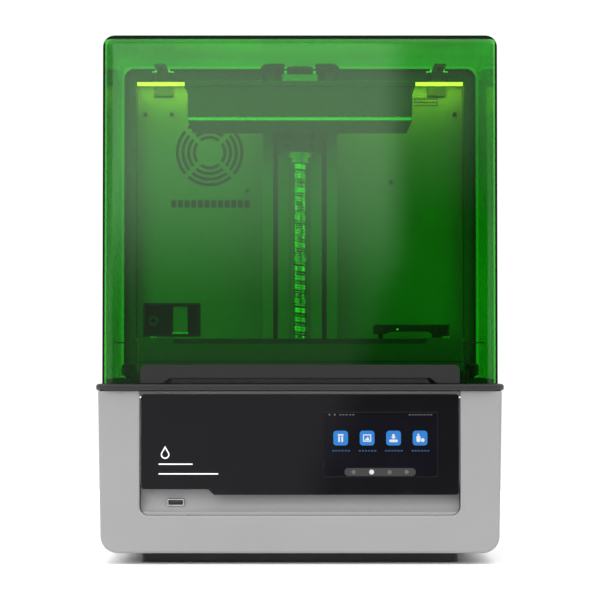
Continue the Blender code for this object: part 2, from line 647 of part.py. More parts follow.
# ---------------------------------------------------------------- deck and light engine
def build_deck():
    deck = prism("deck_plate", rounded(both(DECK_HALF), (DECK_FRONT, DECK_BACK),
                                       (RIM_CORNER - 12 * MM,) * 4), DECK_FOOT, DECK_TOP, "Z",
                 BLACK_SHELL)
    window = box("screen_window", both(SCREEN_WIDTH / 2 + GAP),
                 (SCREEN_FRONT - GAP, SCREEN_BACK + GAP), (DECK_FOOT - PAST, DECK_TOP + PAST))
    sink = box("carriage_well", both(WELL_HALF), (VAT_BACK + 2.5 * MM, COLUMN_FRONT),
               (DECK_FOOT - PAST, DECK_TOP + PAST))
    ports = box("wiring_port", both(HOUSING_WIDTH / 2 - 70 * MM), (CHAMBER_Y + 12 * MM, HOUSING_BACK - 12 * MM),
                (DECK_FOOT - PAST, DECK_TOP + PAST))
    cut(deck, window, sink, ports)
    box("lcd_panel", both(SCREEN_WIDTH / 2), (SCREEN_FRONT, SCREEN_BACK),
        (SCREEN_TOP - SCREEN_THICK, SCREEN_TOP), SCREEN_GLASS)

    span = (SCREEN_FRONT + 3 * MM, SCREEN_BACK - 3 * MM)
    half = SCREEN_WIDTH / 2 - 3 * MM
    tunnel = box("light_box", both(half), span,
                 (LIGHT_BOX_TOP - LIGHT_BOX_HEIGHT, LIGHT_BOX_TOP), BLACK_SHELL)
    cut(tunnel, box("light_path", both(half - LIGHT_BOX_WALL), around(span, -LIGHT_BOX_WALL),
                    (LIGHT_BOX_TOP - LIGHT_BOX_HEIGHT - PAST, LIGHT_BOX_TOP + PAST)))
    box("collimator_lens", both(half), span, (LENS_TOP - LENS_THICK, LENS_TOP), CLEAR_LENS)
    box("uv_led_board", both(half - 4 * MM), around(span, -4 * MM),
        (BOARD_TOP - BOARD_THICK, BOARD_TOP), CIRCUIT)
    sink_half = half - 20 * MM
    heat_sink = box("heat_sink", both(sink_half), around(span, -10 * MM),
                    (SINK_TOP - SINK_HEIGHT, SINK_TOP), ALUMINIUM)
    pitch = (2 * sink_half - SINK_FIN) / (SINK_FINS - 1)
    for number in range(SINK_FINS - 1):
        left = -sink_half + SINK_FIN + number * pitch
        cut(heat_sink, box(f"fin_gap_{number}", (left, left + pitch - SINK_FIN),
                           around(span, PAST), (SINK_TOP - SINK_HEIGHT - PAST, SINK_TOP - SINK_BASE)))


def fan(name, centre, size, depth, low, axis):
    """A fan's square frame and its rotor; centre gives the two coordinates across the axis."""
    cu, cv = centre
    high = low + depth
    frame = prism(f"{name}_frame", rounded((cu - size / 2, cu + size / 2), (cv - size / 2, cv + size / 2),
                                           (4 * MM,) * 4, 2), low, high, axis, BLACK_SHELL)
    throat = rod(f"{name}_throat", centre, size / 2 - 2.5 * MM, low - PAST, high + PAST, axis, None, 28)
    cut(frame, throat)
    arms = []
    for turn in (45, 135):
        reach = size / 2 - 1 * MM
        tilt = math.radians(turn)
        across = [(math.cos(tilt) * r - math.sin(tilt) * w, math.sin(tilt) * r + math.cos(tilt) * w)
                  for r, w in ((-reach, -2 * MM), (reach, -2 * MM), (reach, 2 * MM), (-reach, 2 * MM))]
        arms.append(prism(f"{name}_arm_{turn}", [(cu + u, cv + v) for u, v in across],
                          high - 3 * MM, high - 0.5 * MM, axis))
    join(frame, *arms, rod(f"{name}_mount", centre, size * 0.19, high - 4 * MM, high, axis, None, 20))

    rotor_high = high - 4 * MM - GAP
    rotor_low = low + 1 * MM
    rotor = rod(f"{name}_rotor", centre, size * 0.18, rotor_low, rotor_high, axis, BLACK_SHELL, 20)
    blades = []
    for number in range(7):
        start = 360 / 7 * number
        sweep = [(cu + r * math.cos(math.radians(a)), cv + r * math.sin(math.radians(a)))
                 for r, a in ((size * 0.14, start), (size * 0.3, start + 9), (size * 0.44, start + 20),
                              (size * 0.44, start + 38), (size * 0.3, start + 30),
                              (size * 0.14, start + 20))]
        blades.append(prism(f"{name}_blade_{number}", sweep, rotor_low + 4 * MM, rotor_high - 4 * MM, axis))
    join(rotor, *blades)
    spin = TURN[axis] @ Vector((cu, cv, 0.0)) + ALONG[axis] * (low + high) / 2
    hang(rotor, pivot(f"{name}_axis", spin))


def build_electronics():
    back = CHAMBER_Y + CHAMBER_SHEET + GAP
    fan("heater_fan", (GRILLE_X, GRILLE_Z), FAN_SIZE, FAN_DEPTH, back, "Y")
    fan("led_fan", (0.0, SCREEN_MIDDLE), FAN_SIZE, FAN_DEPTH - 4 * MM, LED_FAN_TOP - FAN_DEPTH + 4 * MM, "Z")
    inner = BASE_BACK - COVER_THICK - GAP
    fan("base_fan", (BASE_FAN_X, BASE_FAN_Z), BASE_FAN_SIZE, 20 * MM, inner - 20 * MM, "Y")
    floor = BASE_FOOT + 2 * BASE_WALL + STAND_OFF
    box("mainboard", (MAINBOARD_OUT - MAINBOARD_WIDTH, MAINBOARD_OUT), MAINBOARD_SPAN,
        (floor, floor + MAINBOARD_HEIGHT), CIRCUIT)
    box("power_supply", (SUPPLY_X - SUPPLY_OUT, SUPPLY_X + SUPPLY_IN), SUPPLY_SPAN,
        (floor, floor + SUPPLY_HEIGHT), ALUMINIUM, 2 * MM, 1)


def build_rear_cover():
    half = COVER_WIDTH / 2
    face = (BASE_BACK - COVER_THICK + 0.5 * MM + GAP, BASE_BACK)
    cover = box("rear_cover", both(half), face, (COVER_FOOT, COVER_TOP), DARK_TRIM)
    through = (face[0] - PAST, face[1] + PAST)
    inlet_hole = box("inlet_hole", (INLET_X - INLET_WIDTH / 2, INLET_X + INLET_WIDTH / 2), through,
                     (INLET_Z - INLET_HEIGHT / 2, INLET_Z + INLET_HEIGHT / 2))
    cut(cover, inlet_hole)
    reach = BASE_FAN_SIZE / 2 - 6 * MM
    for number in range(7):
        height = BASE_FAN_Z - reach + number * reach / 3
        chord = math.sqrt(max(reach * reach - (height - BASE_FAN_Z) ** 2, (12 * MM) ** 2))
        cut(cover, box(f"cover_slot_{number}", (BASE_FAN_X - chord, BASE_FAN_X + chord), through,
                       around((height, height), 2.4 * MM)))
    for number in range(6):
        left = (number - 3) * 16 * MM
        cut(cover, box(f"cover_vent_{number}", (left, left + 5 * MM), through, (60 * MM, 120 * MM)))

    wide = around((INLET_X - INLET_WIDTH / 2, INLET_X + INLET_WIDTH / 2), -GAP)
    tall = around((INLET_Z - INLET_HEIGHT / 2, INLET_Z + INLET_HEIGHT / 2), -GAP)
    deep = (BASE_BACK - INLET_DEPTH, BASE_BACK + 1.5 * MM)
    inlet = box("power_inlet", wide, deep, tall, BLACK_SHELL)
    plug = prism("plug_pocket", rounded(both(13 * MM), both(9.5 * MM), (4 * MM, 4 * MM, 1 * MM, 1 * MM), 2),
                 BASE_BACK - 17 * MM, BASE_BACK + PAST + PAST, "Y")
    plug.location += Vector((INLET_X, 0.0, INLET_Z - 13 * MM))
    rocker_z = INLET_Z + 15 * MM
    bay = box("rocker_bay", both(ROCKER_WIDTH / 2 + PLAY), (BASE_BACK - 16 * MM, BASE_BACK + PAST),
              both(ROCKER_HEIGHT / 2 + PLAY))
    bay.location += Vector((INLET_X, 0.0, rocker_z))
    cut(inlet, plug, bay)
    pins = [box(f"plug_pin_{n}", around((INLET_X + dx, INLET_X + dx), 2 * MM),
                (BASE_BACK - 18 * MM, BASE_BACK - 3 * MM),
                around((INLET_Z - 13 * MM + dz, INLET_Z - 13 * MM + dz), 1 * MM))
            for n, (dx, dz) in enumerate(((-7 * MM, -2 * MM), (7 * MM, -2 * MM), (0.0, 3.5 * MM)))]
    join(inlet, *pins)

    axle_y = BASE_BACK - 7 * MM
    half_rock = ROCKER_HEIGHT / 2
    rocker = prism("power_rocker",
                   [(axle_y - ROCKER_THICK / 2 - MM, rocker_z - half_rock * 0.55),
                    (axle_y + ROCKER_THICK / 2 + 0.2 * MM, rocker_z - half_rock + 1 * MM),
                    (axle_y + ROCKER_THICK / 2 + 0.6 * MM, rocker_z),
                    (axle_y + ROCKER_THICK / 2 + 3 * MM, rocker_z + half_rock - 1.2 * MM),
                    (axle_y - ROCKER_THICK / 2 - MM, rocker_z + half_rock * 0.55)],
                   INLET_X - ROCKER_WIDTH / 2, INLET_X + ROCKER_WIDTH / 2, "X", DARK_TRIM)
    hang(rocker, pivot("rocker_axis", (INLET_X, axle_y, rocker_z)))


# ---------------------------------------------------------------- rear housing and chamber
def hinge_notch(name, side):
    return box(name, around((side * HINGE_X, side * HINGE_X), HINGE_NOTCH / 2),
               (HOUSING_FRONT - PAST, CHAMBER_Y + 2 * MM), (CHAMBER_TOP - 3 * MM, HOUSING_TOP + PAST))


def build_housing():
    half = HOUSING_WIDTH / 2
    housing = prism("rear_housing", rounded(both(half), (HOUSING_FRONT, HOUSING_BACK),
                                            (0, 0, 14 * MM, 14 * MM)),
                    ON_DECK, HOUSING_TOP, "Z", BLACK_SHELL, 8 * MM, 3,
                    lambda a, b: a.z > HOUSING_TOP - 0.1 * MM and b.z > HOUSING_TOP - 0.1 * MM
                    and not (a.y < HOUSING_FRONT + 0.1 * MM and b.y < HOUSING_FRONT + 0.1 * MM))
    opening = prism("chamber_opening",
                    rounded(both(CHAMBER_HALF), (CHAMBER_FOOT - PAST, CHAMBER_TOP), (0, 0, FRAME_CORNER, FRAME_CORNER)),
                    HOUSING_FRONT - PAST, CHAMBER_Y + CHAMBER_SHEET + PAST, "Y")
    cavity = prism("housing_cavity",
                   rounded(both(half - HOUSING_WALL), (CHAMBER_Y + CHAMBER_SHEET + GAP, HOUSING_BACK - HOUSING_WALL),
                           (0, 0, 10 * MM, 10 * MM)),
                   ON_DECK - PAST, HOUSING_TOP - HOUSING_WALL, "Z")
    cut(housing, opening, cavity, hinge_notch("notch_left", -1), hinge_notch("notch_right", 1))
    for number in range(14):
        left = (number - 7) * 12 * MM
        cut(housing, box(f"housing_vent_{number}", (left + 2 * MM, left + 6 * MM),
                         (HOUSING_BACK - 2 * HOUSING_WALL, HOUSING_BACK + PAST),
                         (HOUSING_TOP - 116.5 * MM, HOUSING_TOP - 66.5 * MM)))

    wall = prism("chamber_wall", rounded(both(CHAMBER_HALF - GAP), (CHAMBER_FOOT + GAP, CHAMBER_TOP - GAP),
                                         (0, 0, FRAME_CORNER, FRAME_CORNER)),
                 CHAMBER_Y, CHAMBER_Y + CHAMBER_SHEET, "Y", BLACK_SHELL)
    through = (CHAMBER_Y - PAST, CHAMBER_Y + CHAMBER_SHEET + PAST)
    cutters = [grille_arc(number, quarter, radius, through)
               for number, radius in enumerate(GRILLE_RADII) for quarter in range(4)]
    row_left = GRILLE_X - SLOT_COUNT * SLOT_PITCH / 2 + 7 * MM
    for number in range(SLOT_COUNT):
        left = row_left + number * SLOT_PITCH
        cutters.append(box(f"row_slot_{number}", (left, left + SLOT_WIDTH), through,
                           around((SLOT_ROW_Z, SLOT_ROW_Z), SLOT_HEIGHT / 2)))
    cutters.append(box("dock_hole", (DOCK_X - DOCK_WIDTH / 2, DOCK_X + DOCK_WIDTH / 2), through,
                       (DOCK_Z - DOCK_HEIGHT / 2, DOCK_Z + DOCK_HEIGHT / 2)))
    cut(wall, *cutters)

    dock_x = (DOCK_X - DOCK_WIDTH / 2 + GAP, DOCK_X + DOCK_WIDTH / 2 - GAP)
    dock_z = (DOCK_Z - DOCK_HEIGHT / 2 + GAP, DOCK_Z + DOCK_HEIGHT / 2 - GAP)
    dock = box("feed_dock", dock_x, (CHAMBER_Y - 0.5 * MM, CHAMBER_Y + DOCK_DEPTH), dock_z, DARK_TRIM)
    cut(dock, box("dock_space", around(dock_x, -DOCK_WALL), (CHAMBER_Y - PAST, CHAMBER_Y + DOCK_DEPTH - DOCK_WALL),
                  around(dock_z, -DOCK_WALL)))
    port_spot = (DOCK_X - 21 * MM, DOCK_Z - 1 * MM)
    join(dock, rod("dock_port", port_spot, 5.5 * MM, CHAMBER_Y + 12 * MM, CHAMBER_Y + DOCK_DEPTH - 1 * MM,
                   "Y", None, 20))
    box("led_bar", both(LIGHT_BAR_WIDTH / 2), (HOUSING_FRONT + 2 * MM, HOUSING_FRONT + 2 * MM + LIGHT_BAR_DEPTH),
        (LIGHT_BAR_Z - LIGHT_BAR_HEIGHT / 2, LIGHT_BAR_Z + LIGHT_BAR_HEIGHT / 2), LIGHT_STRIP, 1 * MM, 1)


def grille_arc(number, quarter, radius, through):
    """One quarter of a ring slot, stopped short by the spokes at 45 degrees."""
    inner = radius - GRILLE_SLOT
    gap = math.degrees(GRILLE_SPOKE / 2 / radius)
    start = 45 + 90 * quarter + gap
    end = 135 + 90 * quarter - gap
    outline = arc(GRILLE_X, GRILLE_Z, radius, start, end, 6)
    outline += arc(GRILLE_X, GRILLE_Z, inner, end, start, 6)
    return prism(f"grille_arc_{number}_{quarter}", outline, *through, "Y")


# ---------------------------------------------------------------- lid and hinge
def lid_form(name, inset, foot, back, material=None):
    """The lid's outer or inner shape: a box rounded along its front and top edges."""
    corner = LID_EDGE - inset
    top = LID_TOP - inset
    outline = rounded(both(LID_WIDTH / 2 - inset), (-LID_FRONT + inset, back), (corner, corner, 0, 0))
    return prism(name, outline, foot, top, "Z", material, corner - LID_EDGE_LESS, 4,
                 lambda a, b: a.z > top - 0.1 * MM and b.z > top - 0.1 * MM
                 and not (a.y > back - 0.1 * MM and b.y > back - 0.1 * MM))


def build_lid():
    hinge_line = pivot("lid_axis", (0.0, HINGE_Y, HINGE_Z))
    lid = lid_form("lid_shell", 0.0, LID_FOOT, LID_BACK, TINTED_LID)
    cut(lid, lid_form("lid_inside", LID_WALL, LID_FOOT - PAST, LID_BACK + PAST))
    round_off(lid)

    top = LID_FOOT + HANDLE_HEIGHT
    half = HANDLE_WIDTH / 2
    grip = GRIP_WIDTH / 2
    outline = [(-half, LID_FOOT), (-grip - GRIP_SLOPE / 2, LID_FOOT), (-grip + GRIP_SLOPE / 2, LID_FOOT + GRIP_HEIGHT),
               (grip - GRIP_SLOPE / 2, LID_FOOT + GRIP_HEIGHT), (grip + GRIP_SLOPE / 2, LID_FOOT), (half, LID_FOOT)]
    outline += arc(half - HANDLE_CORNER, top - HANDLE_CORNER, HANDLE_CORNER, 0, 90, 4)
    outline += arc(-half + HANDLE_CORNER, top - HANDLE_CORNER, HANDLE_CORNER, 90, 180, 4)
    handle = prism("lid_handle", outline, -LID_FRONT - GAP - HANDLE_THICK, -LID_FRONT - GAP, "Y", DARK_TRIM)
    pieces = [lid, handle]
    for side, word in ((-1, "left"), (1, "right")):
        pieces.append(hinge_leaf(side, word))
        hinge_bracket(side, word)
    for piece in pieces:
        hang(piece, hinge_line)


def hinge_leaf(side, word):
    """Plate under the lid's top with a knuckle that turns on the pin."""
    span = around((side * HINGE_X, side * HINGE_X), KNUCKLE_WIDTH / 2)
    under = LID_TOP - LID_WALL - GAP
    back = HINGE_Y - 4 * MM
    outline = [(LID_BACK - LEAF_LENGTH, under - LEAF_THICK), (LID_BACK - 6 * MM, under - LEAF_THICK),
               (HINGE_Y - 3 * MM, HINGE_Z - 4 * MM), (HINGE_Y, HINGE_Z - 4 * MM), (HINGE_Y, HINGE_Z + 3 * MM),
               (back, under), (LID_BACK - LEAF_LENGTH, under)]
    leaf = prism(f"hinge_leaf_{word}", outline, *span, "X", STEEL)
    knuckle = rod(f"knuckle_{word}", (HINGE_Y, HINGE_Z), KNUCKLE_RADIUS, *span, "X", None, 20)
    bore = rod(f"knuckle_bore_{word}", (HINGE_Y, HINGE_Z), PIN_RADIUS + GAP, *around(span, PAST), "X", None, 20)
    return cut(join(leaf, knuckle), bore)


def hinge_bracket(side, word):
    """Two ears on a plate in front of the chamber wall, and the pin through them."""
    centre = side * HINGE_X
    reach = KNUCKLE_WIDTH / 2 + GAP + EAR_WIDTH
    face = CHAMBER_Y - GAP
    top = HINGE_Z + PIN_RADIUS + 2 * MM
    bracket = box(f"hinge_bracket_{word}", around((centre, centre), reach), (face - 3 * MM, face),
                  (LIGHT_BAR_Z - 12 * MM, top), STEEL)
    for hand in (-1, 1):
        ear_x = sorted((centre + hand * reach, centre + hand * (reach - EAR_WIDTH)))
        ear = box(f"ear_{word}_{hand}", ear_x, (HINGE_Y - 5 * MM, face - 1 * MM), (HINGE_Z - KNUCKLE_RADIUS + 0.5 * MM, top))
        join(bracket, ear)
    span = around((centre, centre), reach)
    cut(bracket, rod(f"ear_bore_{word}", (HINGE_Y, HINGE_Z), PIN_RADIUS + GAP, *around(span, PAST), "X", None, 20))
    rod(f"hinge_pin_{word}", (HINGE_Y, HINGE_Z), PIN_RADIUS, *around(span, -0.5 * MM), "X", STEEL, 20)


# ---------------------------------------------------------------- z axis
def build_column():
    half = COLUMN_WIDTH / 2
    column = box("z_column", both(half), (COLUMN_FRONT, COLUMN_BACK), (COLUMN_FOOT, COLUMN_TOP), ANODISED,
                 1.5 * MM, 1, lambda a, b: abs(a.z - b.z) > MM)
    rail_back = COLUMN_FRONT + T_SLOT_LIP + T_SLOT_DEPTH - GAP
    for side, word in ((-1, "left"), (1, "right")):
        centre = side * T_SLOT_X
        mouth = box(f"slot_mouth_{word}", around((centre, centre), T_SLOT_MOUTH / 2),
                    (COLUMN_FRONT - PAST, COLUMN_FRONT + T_SLOT_LIP + PAST), (COLUMN_FOOT - PAST, COLUMN_TOP + PAST))
        room = box(f"slot_room_{word}", around((centre, centre), T_SLOT_WIDTH / 2),
                   (COLUMN_FRONT + T_SLOT_LIP, COLUMN_FRONT + T_SLOT_LIP + T_SLOT_DEPTH),
                   (COLUMN_FOOT - 2 * PAST, COLUMN_TOP + 2 * PAST))
        cut(column, mouth, room)
        box(f"rail_{word}", around((centre, centre), RAIL_WIDTH / 2), (rail_back - RAIL_THICK, rail_back),
            (COLUMN_FOOT + 2 * MM, COLUMN_TOP - 2 * MM), STEEL)
    cap = box("upper_bearing", both(half), (SCREW_Y - 14 * MM, COLUMN_BACK), (COLUMN_TOP + GAP, COLUMN_TOP + CAP_THICK),
              ANODISED, 2 * MM, 1, lambda a, b: abs(a.z - b.z) > MM)
    bore = rod("bearing_bore", (0.0, SCREW_Y), JOURNAL_RADIUS + GAP, COLUMN_TOP - PAST,
               COLUMN_TOP + CAP_THICK + PAST, "Z", None, 24)
    cut(cap, bore)


def build_screw():
    axis = pivot("screw_axis", (0.0, SCREW_Y, SCREW_FOOT))
    top = COLUMN_TOP - 1 * MM
    screw = rod("z_screw", (0.0, SCREW_Y), SCREW_RADIUS, SCREW_FOOT, top, "Z", STEEL, 32)
    lower = rod("journal_low", (0.0, SCREW_Y), JOURNAL_RADIUS, COUPLER_TOP - 14 * MM, SCREW_FOOT + PAST, "Z", None, 24)
    upper = rod("journal_high", (0.0, SCREW_Y), JOURNAL_RADIUS, top - PAST, COLUMN_TOP + CAP_THICK - 1 * MM, "Z",
                None, 24)
    join(screw, lower, upper)
    coupler = rod("shaft_coupler", (0.0, SCREW_Y), COUPLER_RADIUS, COUPLER_FOOT, COUPLER_TOP, "Z", ALUMINIUM, 28)
    bore_low = rod("coupler_bore_low", (0.0, SCREW_Y), MOTOR_SHAFT + GAP, COUPLER_FOOT - PAST,
                   COUPLER_TOP - 14 * MM, "Z", None, 24)
    bore_high = rod("coupler_bore_high", (0.0, SCREW_Y), JOURNAL_RADIUS + GAP, COUPLER_TOP - 15 * MM,
                    COUPLER_TOP + PAST, "Z", None, 24)
    cut(coupler, bore_low, bore_high)
    motor = box("z_motor", both(MOTOR_SIZE / 2), around((SCREW_Y, SCREW_Y), MOTOR_SIZE / 2),
                (MOTOR_TOP - MOTOR_HEIGHT, MOTOR_TOP), BLACK_SHELL, 4 * MM, 1, lambda a, b: abs(a.z - b.z) > MM)
    cut(motor, rod("motor_bore", (0.0, SCREW_Y), MOTOR_SHAFT + GAP, MOTOR_TOP - 20 * MM, MOTOR_TOP + PAST, "Z",
                   None, 24))
    shaft = rod("motor_shaft", (0.0, SCREW_Y), MOTOR_SHAFT, MOTOR_TOP - 19 * MM, MOTOR_TOP + SHAFT_LENGTH, "Z",
                STEEL, 24)
    for piece in (screw, coupler, shaft):
        hang(piece, axis)


def build_carriage():
    slide = pivot("carriage_axis", (0.0, CARRIAGE_FRONT, CARRIAGE_FOOT))
    wide = CARRIAGE_WIDTH / 2
    neck = CARRIAGE_NECK / 2
    plate = box("carriage_plate", both(wide), (CARRIAGE_FRONT, CARRIAGE_BACK), (CARRIAGE_SHOULDER, CARRIAGE_TOP),
                ANODISED)
    skirt = box("carriage_skirt", both(neck), (CARRIAGE_FRONT, CARRIAGE_BACK),
                (CARRIAGE_FOOT, CARRIAGE_SHOULDER + PAST))
    cut(join(plate, skirt), rod("carriage_bore", (0.0, SCREW_Y), SCREW_RADIUS + 1 * MM, CARRIAGE_FOOT - PAST,
                                CARRIAGE_TOP + PAST, "Z", None, 28))
    nut_foot = CARRIAGE_FOOT - GAP - NUT_HEIGHT
    nut = rod("z_nut", (0.0, SCREW_Y - 1 * MM), NUT_RADIUS, nut_foot, CARRIAGE_FOOT - GAP, "Z", ALUMINIUM, 28)
    flat = box("nut_flat", both(NUT_RADIUS + PAST), (CARRIAGE_BACK, CARRIAGE_BACK + 20 * MM),
               (nut_foot - PAST, CARRIAGE_FOOT))
    cut(nut, flat, rod("nut_bore", (0.0, SCREW_Y), SCREW_RADIUS + GAP, nut_foot - PAST, CARRIAGE_FOOT + PAST, "Z",
                       None, 28))
    pieces = [plate, nut]
    block_mid = (CARRIAGE_SHOULDER + CARRIAGE_TOP) / 2
    for side, word in ((-1, "left"), (1, "right")):
        pieces.append(slide_block(side, word, block_mid))
    arm = box("cantilever_arm", both(ARM_WIDTH / 2), (ARM_FRONT, CARRIAGE_FRONT - GAP),
              (ARM_FOOT, ARM_FOOT + ARM_THICK), ALUMINIUM, 2 * MM, 1, lambda a, b: abs(a.z - b.z) > MM)
    foot = box("arm_foot", both(ARM_WIDTH / 2), (VAT_BACK + PLAY, CARRIAGE_FRONT - GAP),
               (CARRIAGE_FOOT + 24 * MM, ARM_FOOT + MM))
    cheeks = [box(f"cheek_{s}", sorted((s * (PADDLE_HALF + GAP), s * (PADDLE_HALF + GAP + CHEEK_WIDTH))),
                  around((PADDLE_PIVOT_Y, PADDLE_PIVOT_Y), 5 * MM),
                  (ARM_FOOT + ARM_THICK / 2, PADDLE_PIVOT_Z + 2.5 * MM)) for s in (-1, 1)]
    pin_hole = rod("paddle_bore", (PADDLE_PIVOT_Y, PADDLE_PIVOT_Z), 1.5 * MM + GAP,
                   -PADDLE_HALF - 3 * CHEEK_WIDTH, PADDLE_HALF + 3 * CHEEK_WIDTH, "X", None, 16)
    cut(join(arm, foot, *cheeks), pin_hole)
    pieces.append(arm)
    for piece in pieces:
        hang(piece, slide)
    build_paddle(slide)
    build_platform(slide)


def slide_block(side, word, block_mid):
    """Runs on a rail inside the column's slot and holds the carriage through the slot's mouth."""
    centre = side * T_SLOT_X
    half = T_SLOT_WIDTH / 2 - GAP
    neck = T_SLOT_MOUTH / 2 - GAP
    groove = RAIL_WIDTH / 2 + GAP
    front = COLUMN_FRONT + T_SLOT_LIP + GAP
    rail_back = COLUMN_FRONT + T_SLOT_LIP + T_SLOT_DEPTH - GAP
    rail_front = rail_back - RAIL_THICK - GAP
    outline = [(-neck, CARRIAGE_BACK + GAP), (neck, CARRIAGE_BACK + GAP), (neck, front), (half, front),
               (half, rail_back - MM), (groove, rail_back - MM), (groove, rail_front), (-groove, rail_front),
               (-groove, rail_back - MM), (-half, rail_back - MM), (-half, front), (-neck, front)]
    return prism(f"slide_block_{word}", [(centre + u, v) for u, v in outline],
                 block_mid - BLOCK_HEIGHT / 2, block_mid + BLOCK_HEIGHT / 2, "Z", STEEL)


def build_paddle(slide):
    axis = pivot("paddle_axis", (0.0, PADDLE_PIVOT_Y, PADDLE_PIVOT_Z), slide)
    top = PADDLE_PIVOT_Z + PADDLE_THICK / 2 + 0.7 * MM
    low = top - PADDLE_THICK
    outline = [(PADDLE_FRONT, low), (PADDLE_FRONT + MM, top), (PADDLE_PIVOT_Y, top)]
    outline += arc(PADDLE_PIVOT_Y, PADDLE_PIVOT_Z, top - PADDLE_PIVOT_Z, 90, -100, 6)
    outline += [(PADDLE_PIVOT_Y - 4 * MM, low)]
    paddle = prism("release_paddle", outline, *both(PADDLE_HALF), "X", DARK_TRIM)
    join(paddle, rod("paddle_pin", (PADDLE_PIVOT_Y, PADDLE_PIVOT_Z), 1.5 * MM,
                     *both(PADDLE_HALF + GAP + CHEEK_WIDTH - 0.4 * MM), "X", None, 16))
    hang(paddle, axis)


def build_platform(slide):
    axis = pivot("platform_axis", (0.0, YOKE_FRONT, PLATE_FOOT), slide)
    half = PLATE_WIDTH / 2
    deep = (PLATE_FRONT, PLATE_BACK)
    plate = box("build_plate", both(half), deep, (PLATE_FOOT, PLATE_FOOT + PLATE_THICK), ALUMINIUM, 1 * MM, 1,
                lambda a, b: abs(a.z - b.z) > MM)
    low = PLATE_FOOT + PLATE_THICK + GAP
    body = box("platform_body", both(half), deep, (low, PLATFORM_TOP - FLANGE_THICK / 2), ALUMINIUM, 2 * MM, 1,
               lambda a, b: abs(a.z - b.z) > MM)
    flange = box("platform_flange", both(half + FLANGE_REACH), around(deep, FLANGE_REACH),
                 (PLATFORM_TOP - FLANGE_THICK, PLATFORM_TOP), None, 1.2 * MM, 1,
                 lambda a, b: abs(a.z - b.z) > MM or a.z > PLATFORM_TOP - 0.1 * MM)
    pocket = box("platform_pocket", both(half - PLATFORM_WALL), around(deep, -PLATFORM_WALL),
                 (low - PAST, PLATFORM_TOP - FLANGE_THICK - PLATFORM_WALL / 2))
    cut(join(body, flange), pocket)

    yoke_low = PLATFORM_TOP + GAP
    yoke = box("platform_handle", both(YOKE_HALF), (YOKE_FRONT, YOKE_BACK), (yoke_low, yoke_low + YOKE_BASE), DARK_TRIM)
    arm_top = ARM_FOOT + ARM_THICK
    extras = []
    for side in (-1, 1):
        inner = side * (ARM_WIDTH / 2 + PLAY)
        outer = inner + side * JAW_WIDTH
        extras.append(box(f"jaw_{side}", sorted((inner, outer)), (YOKE_FRONT + LOOP_DEPTH / 2, YOKE_BACK),
                          (yoke_low + MM, arm_top + JAW_LIP)))
        extras.append(box(f"jaw_lip_{side}", sorted((inner - side * 3 * MM, outer)),
                          (YOKE_FRONT + LOOP_DEPTH / 2, PADDLE_PIVOT_Y - 8 * MM), (arm_top + GAP, arm_top + JAW_LIP)))
        loop = [(side * LOOP_IN, LOOP_TOP - LOOP_STRIP), (side * LOOP_IN, LOOP_TOP)]
        outside = arc(LOOP_OUT - LOOP_CORNER, LOOP_TOP - LOOP_CORNER, LOOP_CORNER, 90, 0, 4)
        loop += [(side * u, v) for u, v in outside]
        loop += [(side * YOKE_HALF, yoke_low + MM), (side * (YOKE_HALF - LOOP_STRIP), yoke_low + MM)]
        inside = arc(LOOP_OUT - LOOP_CORNER, LOOP_TOP - LOOP_CORNER, LOOP_CORNER - LOOP_STRIP, 0, 90, 4)
        loop += [(side * u, v) for u, v in inside]
        extras.append(prism(f"loop_{side}", loop, YOKE_FRONT, YOKE_FRONT + LOOP_DEPTH, "Y"))
    join(yoke, *extras)
    for piece in (plate, body, yoke):
        hang(piece, axis)


# ---------------------------------------------------------------- vat
def build_cradle():
    half = VAT_WIDTH / 2 + CRADLE_MARGIN
    hole_half = TANK_WIDTH / 2 + FILM_MARGIN - 4 * MM
    ring_x = both(half)
    ring_y = (VAT_FRONT - CRADLE_MARGIN / 2, VAT_BACK + 2 * MM)
    cradle = box("vat_cradle", ring_x, ring_y, (ON_DECK, CRADLE_TOP), DARK_TRIM)
    ribs = [box(f"cradle_rib_{s}", sorted((s * half, s * (VAT_WIDTH / 2 + GAP))), ring_y,
                (ON_DECK, CRADLE_TOP + CRADLE_RIB)) for s in (-1, 1)]
    hole = box("cradle_hole", both(hole_half), (SCREEN_FRONT - 6 * MM, SCREEN_BACK + 1.5 * MM),
               (ON_DECK - PAST, CRADLE_TOP + PAST))
    gaps = [box(f"latch_gap_{s}", sorted((s * (half + PAST), s * (VAT_WIDTH / 2 - GAP))),
                around((LATCH_Y, LATCH_Y), LATCH_SWEEP), (LATCH_Z - 3 * MM, CRADLE_TOP + CRADLE_RIB + PAST))
            for s in (-1, 1)]
    cut(join(cradle, *ribs), hole, *gaps)

    for side, word in ((-1, "left"), (1, "right")):
        build_latch(side, word)


def build_latch(side, word):
    """A cam that swings against the vat's side; its post stands on the deck."""
    centre = (side * LATCH_X, LATCH_Y)
    axis = pivot(f"latch_{word}_axis", (*centre, LATCH_Z))
    latch = rod(f"vat_latch_{word}", centre, LATCH_RADIUS, LATCH_Z, LATCH_Z + LATCH_HEIGHT, "Z", DARK_TRIM, 24)
    reach = LATCH_X - VAT_WIDTH / 2 - GAP
    lobe = box(f"latch_lobe_{word}", sorted((side * LATCH_X, side * (LATCH_X - reach))),
               around((LATCH_Y, LATCH_Y), LATCH_ARM / 2), (LATCH_Z, LATCH_Z + LATCH_HEIGHT / 2))
    spindle = rod(f"latch_spindle_{word}", centre, POST_RADIUS, ON_DECK, LATCH_Z + MM, "Z", None, 16)
    join(latch, lobe, spindle)
    hang(latch, axis)


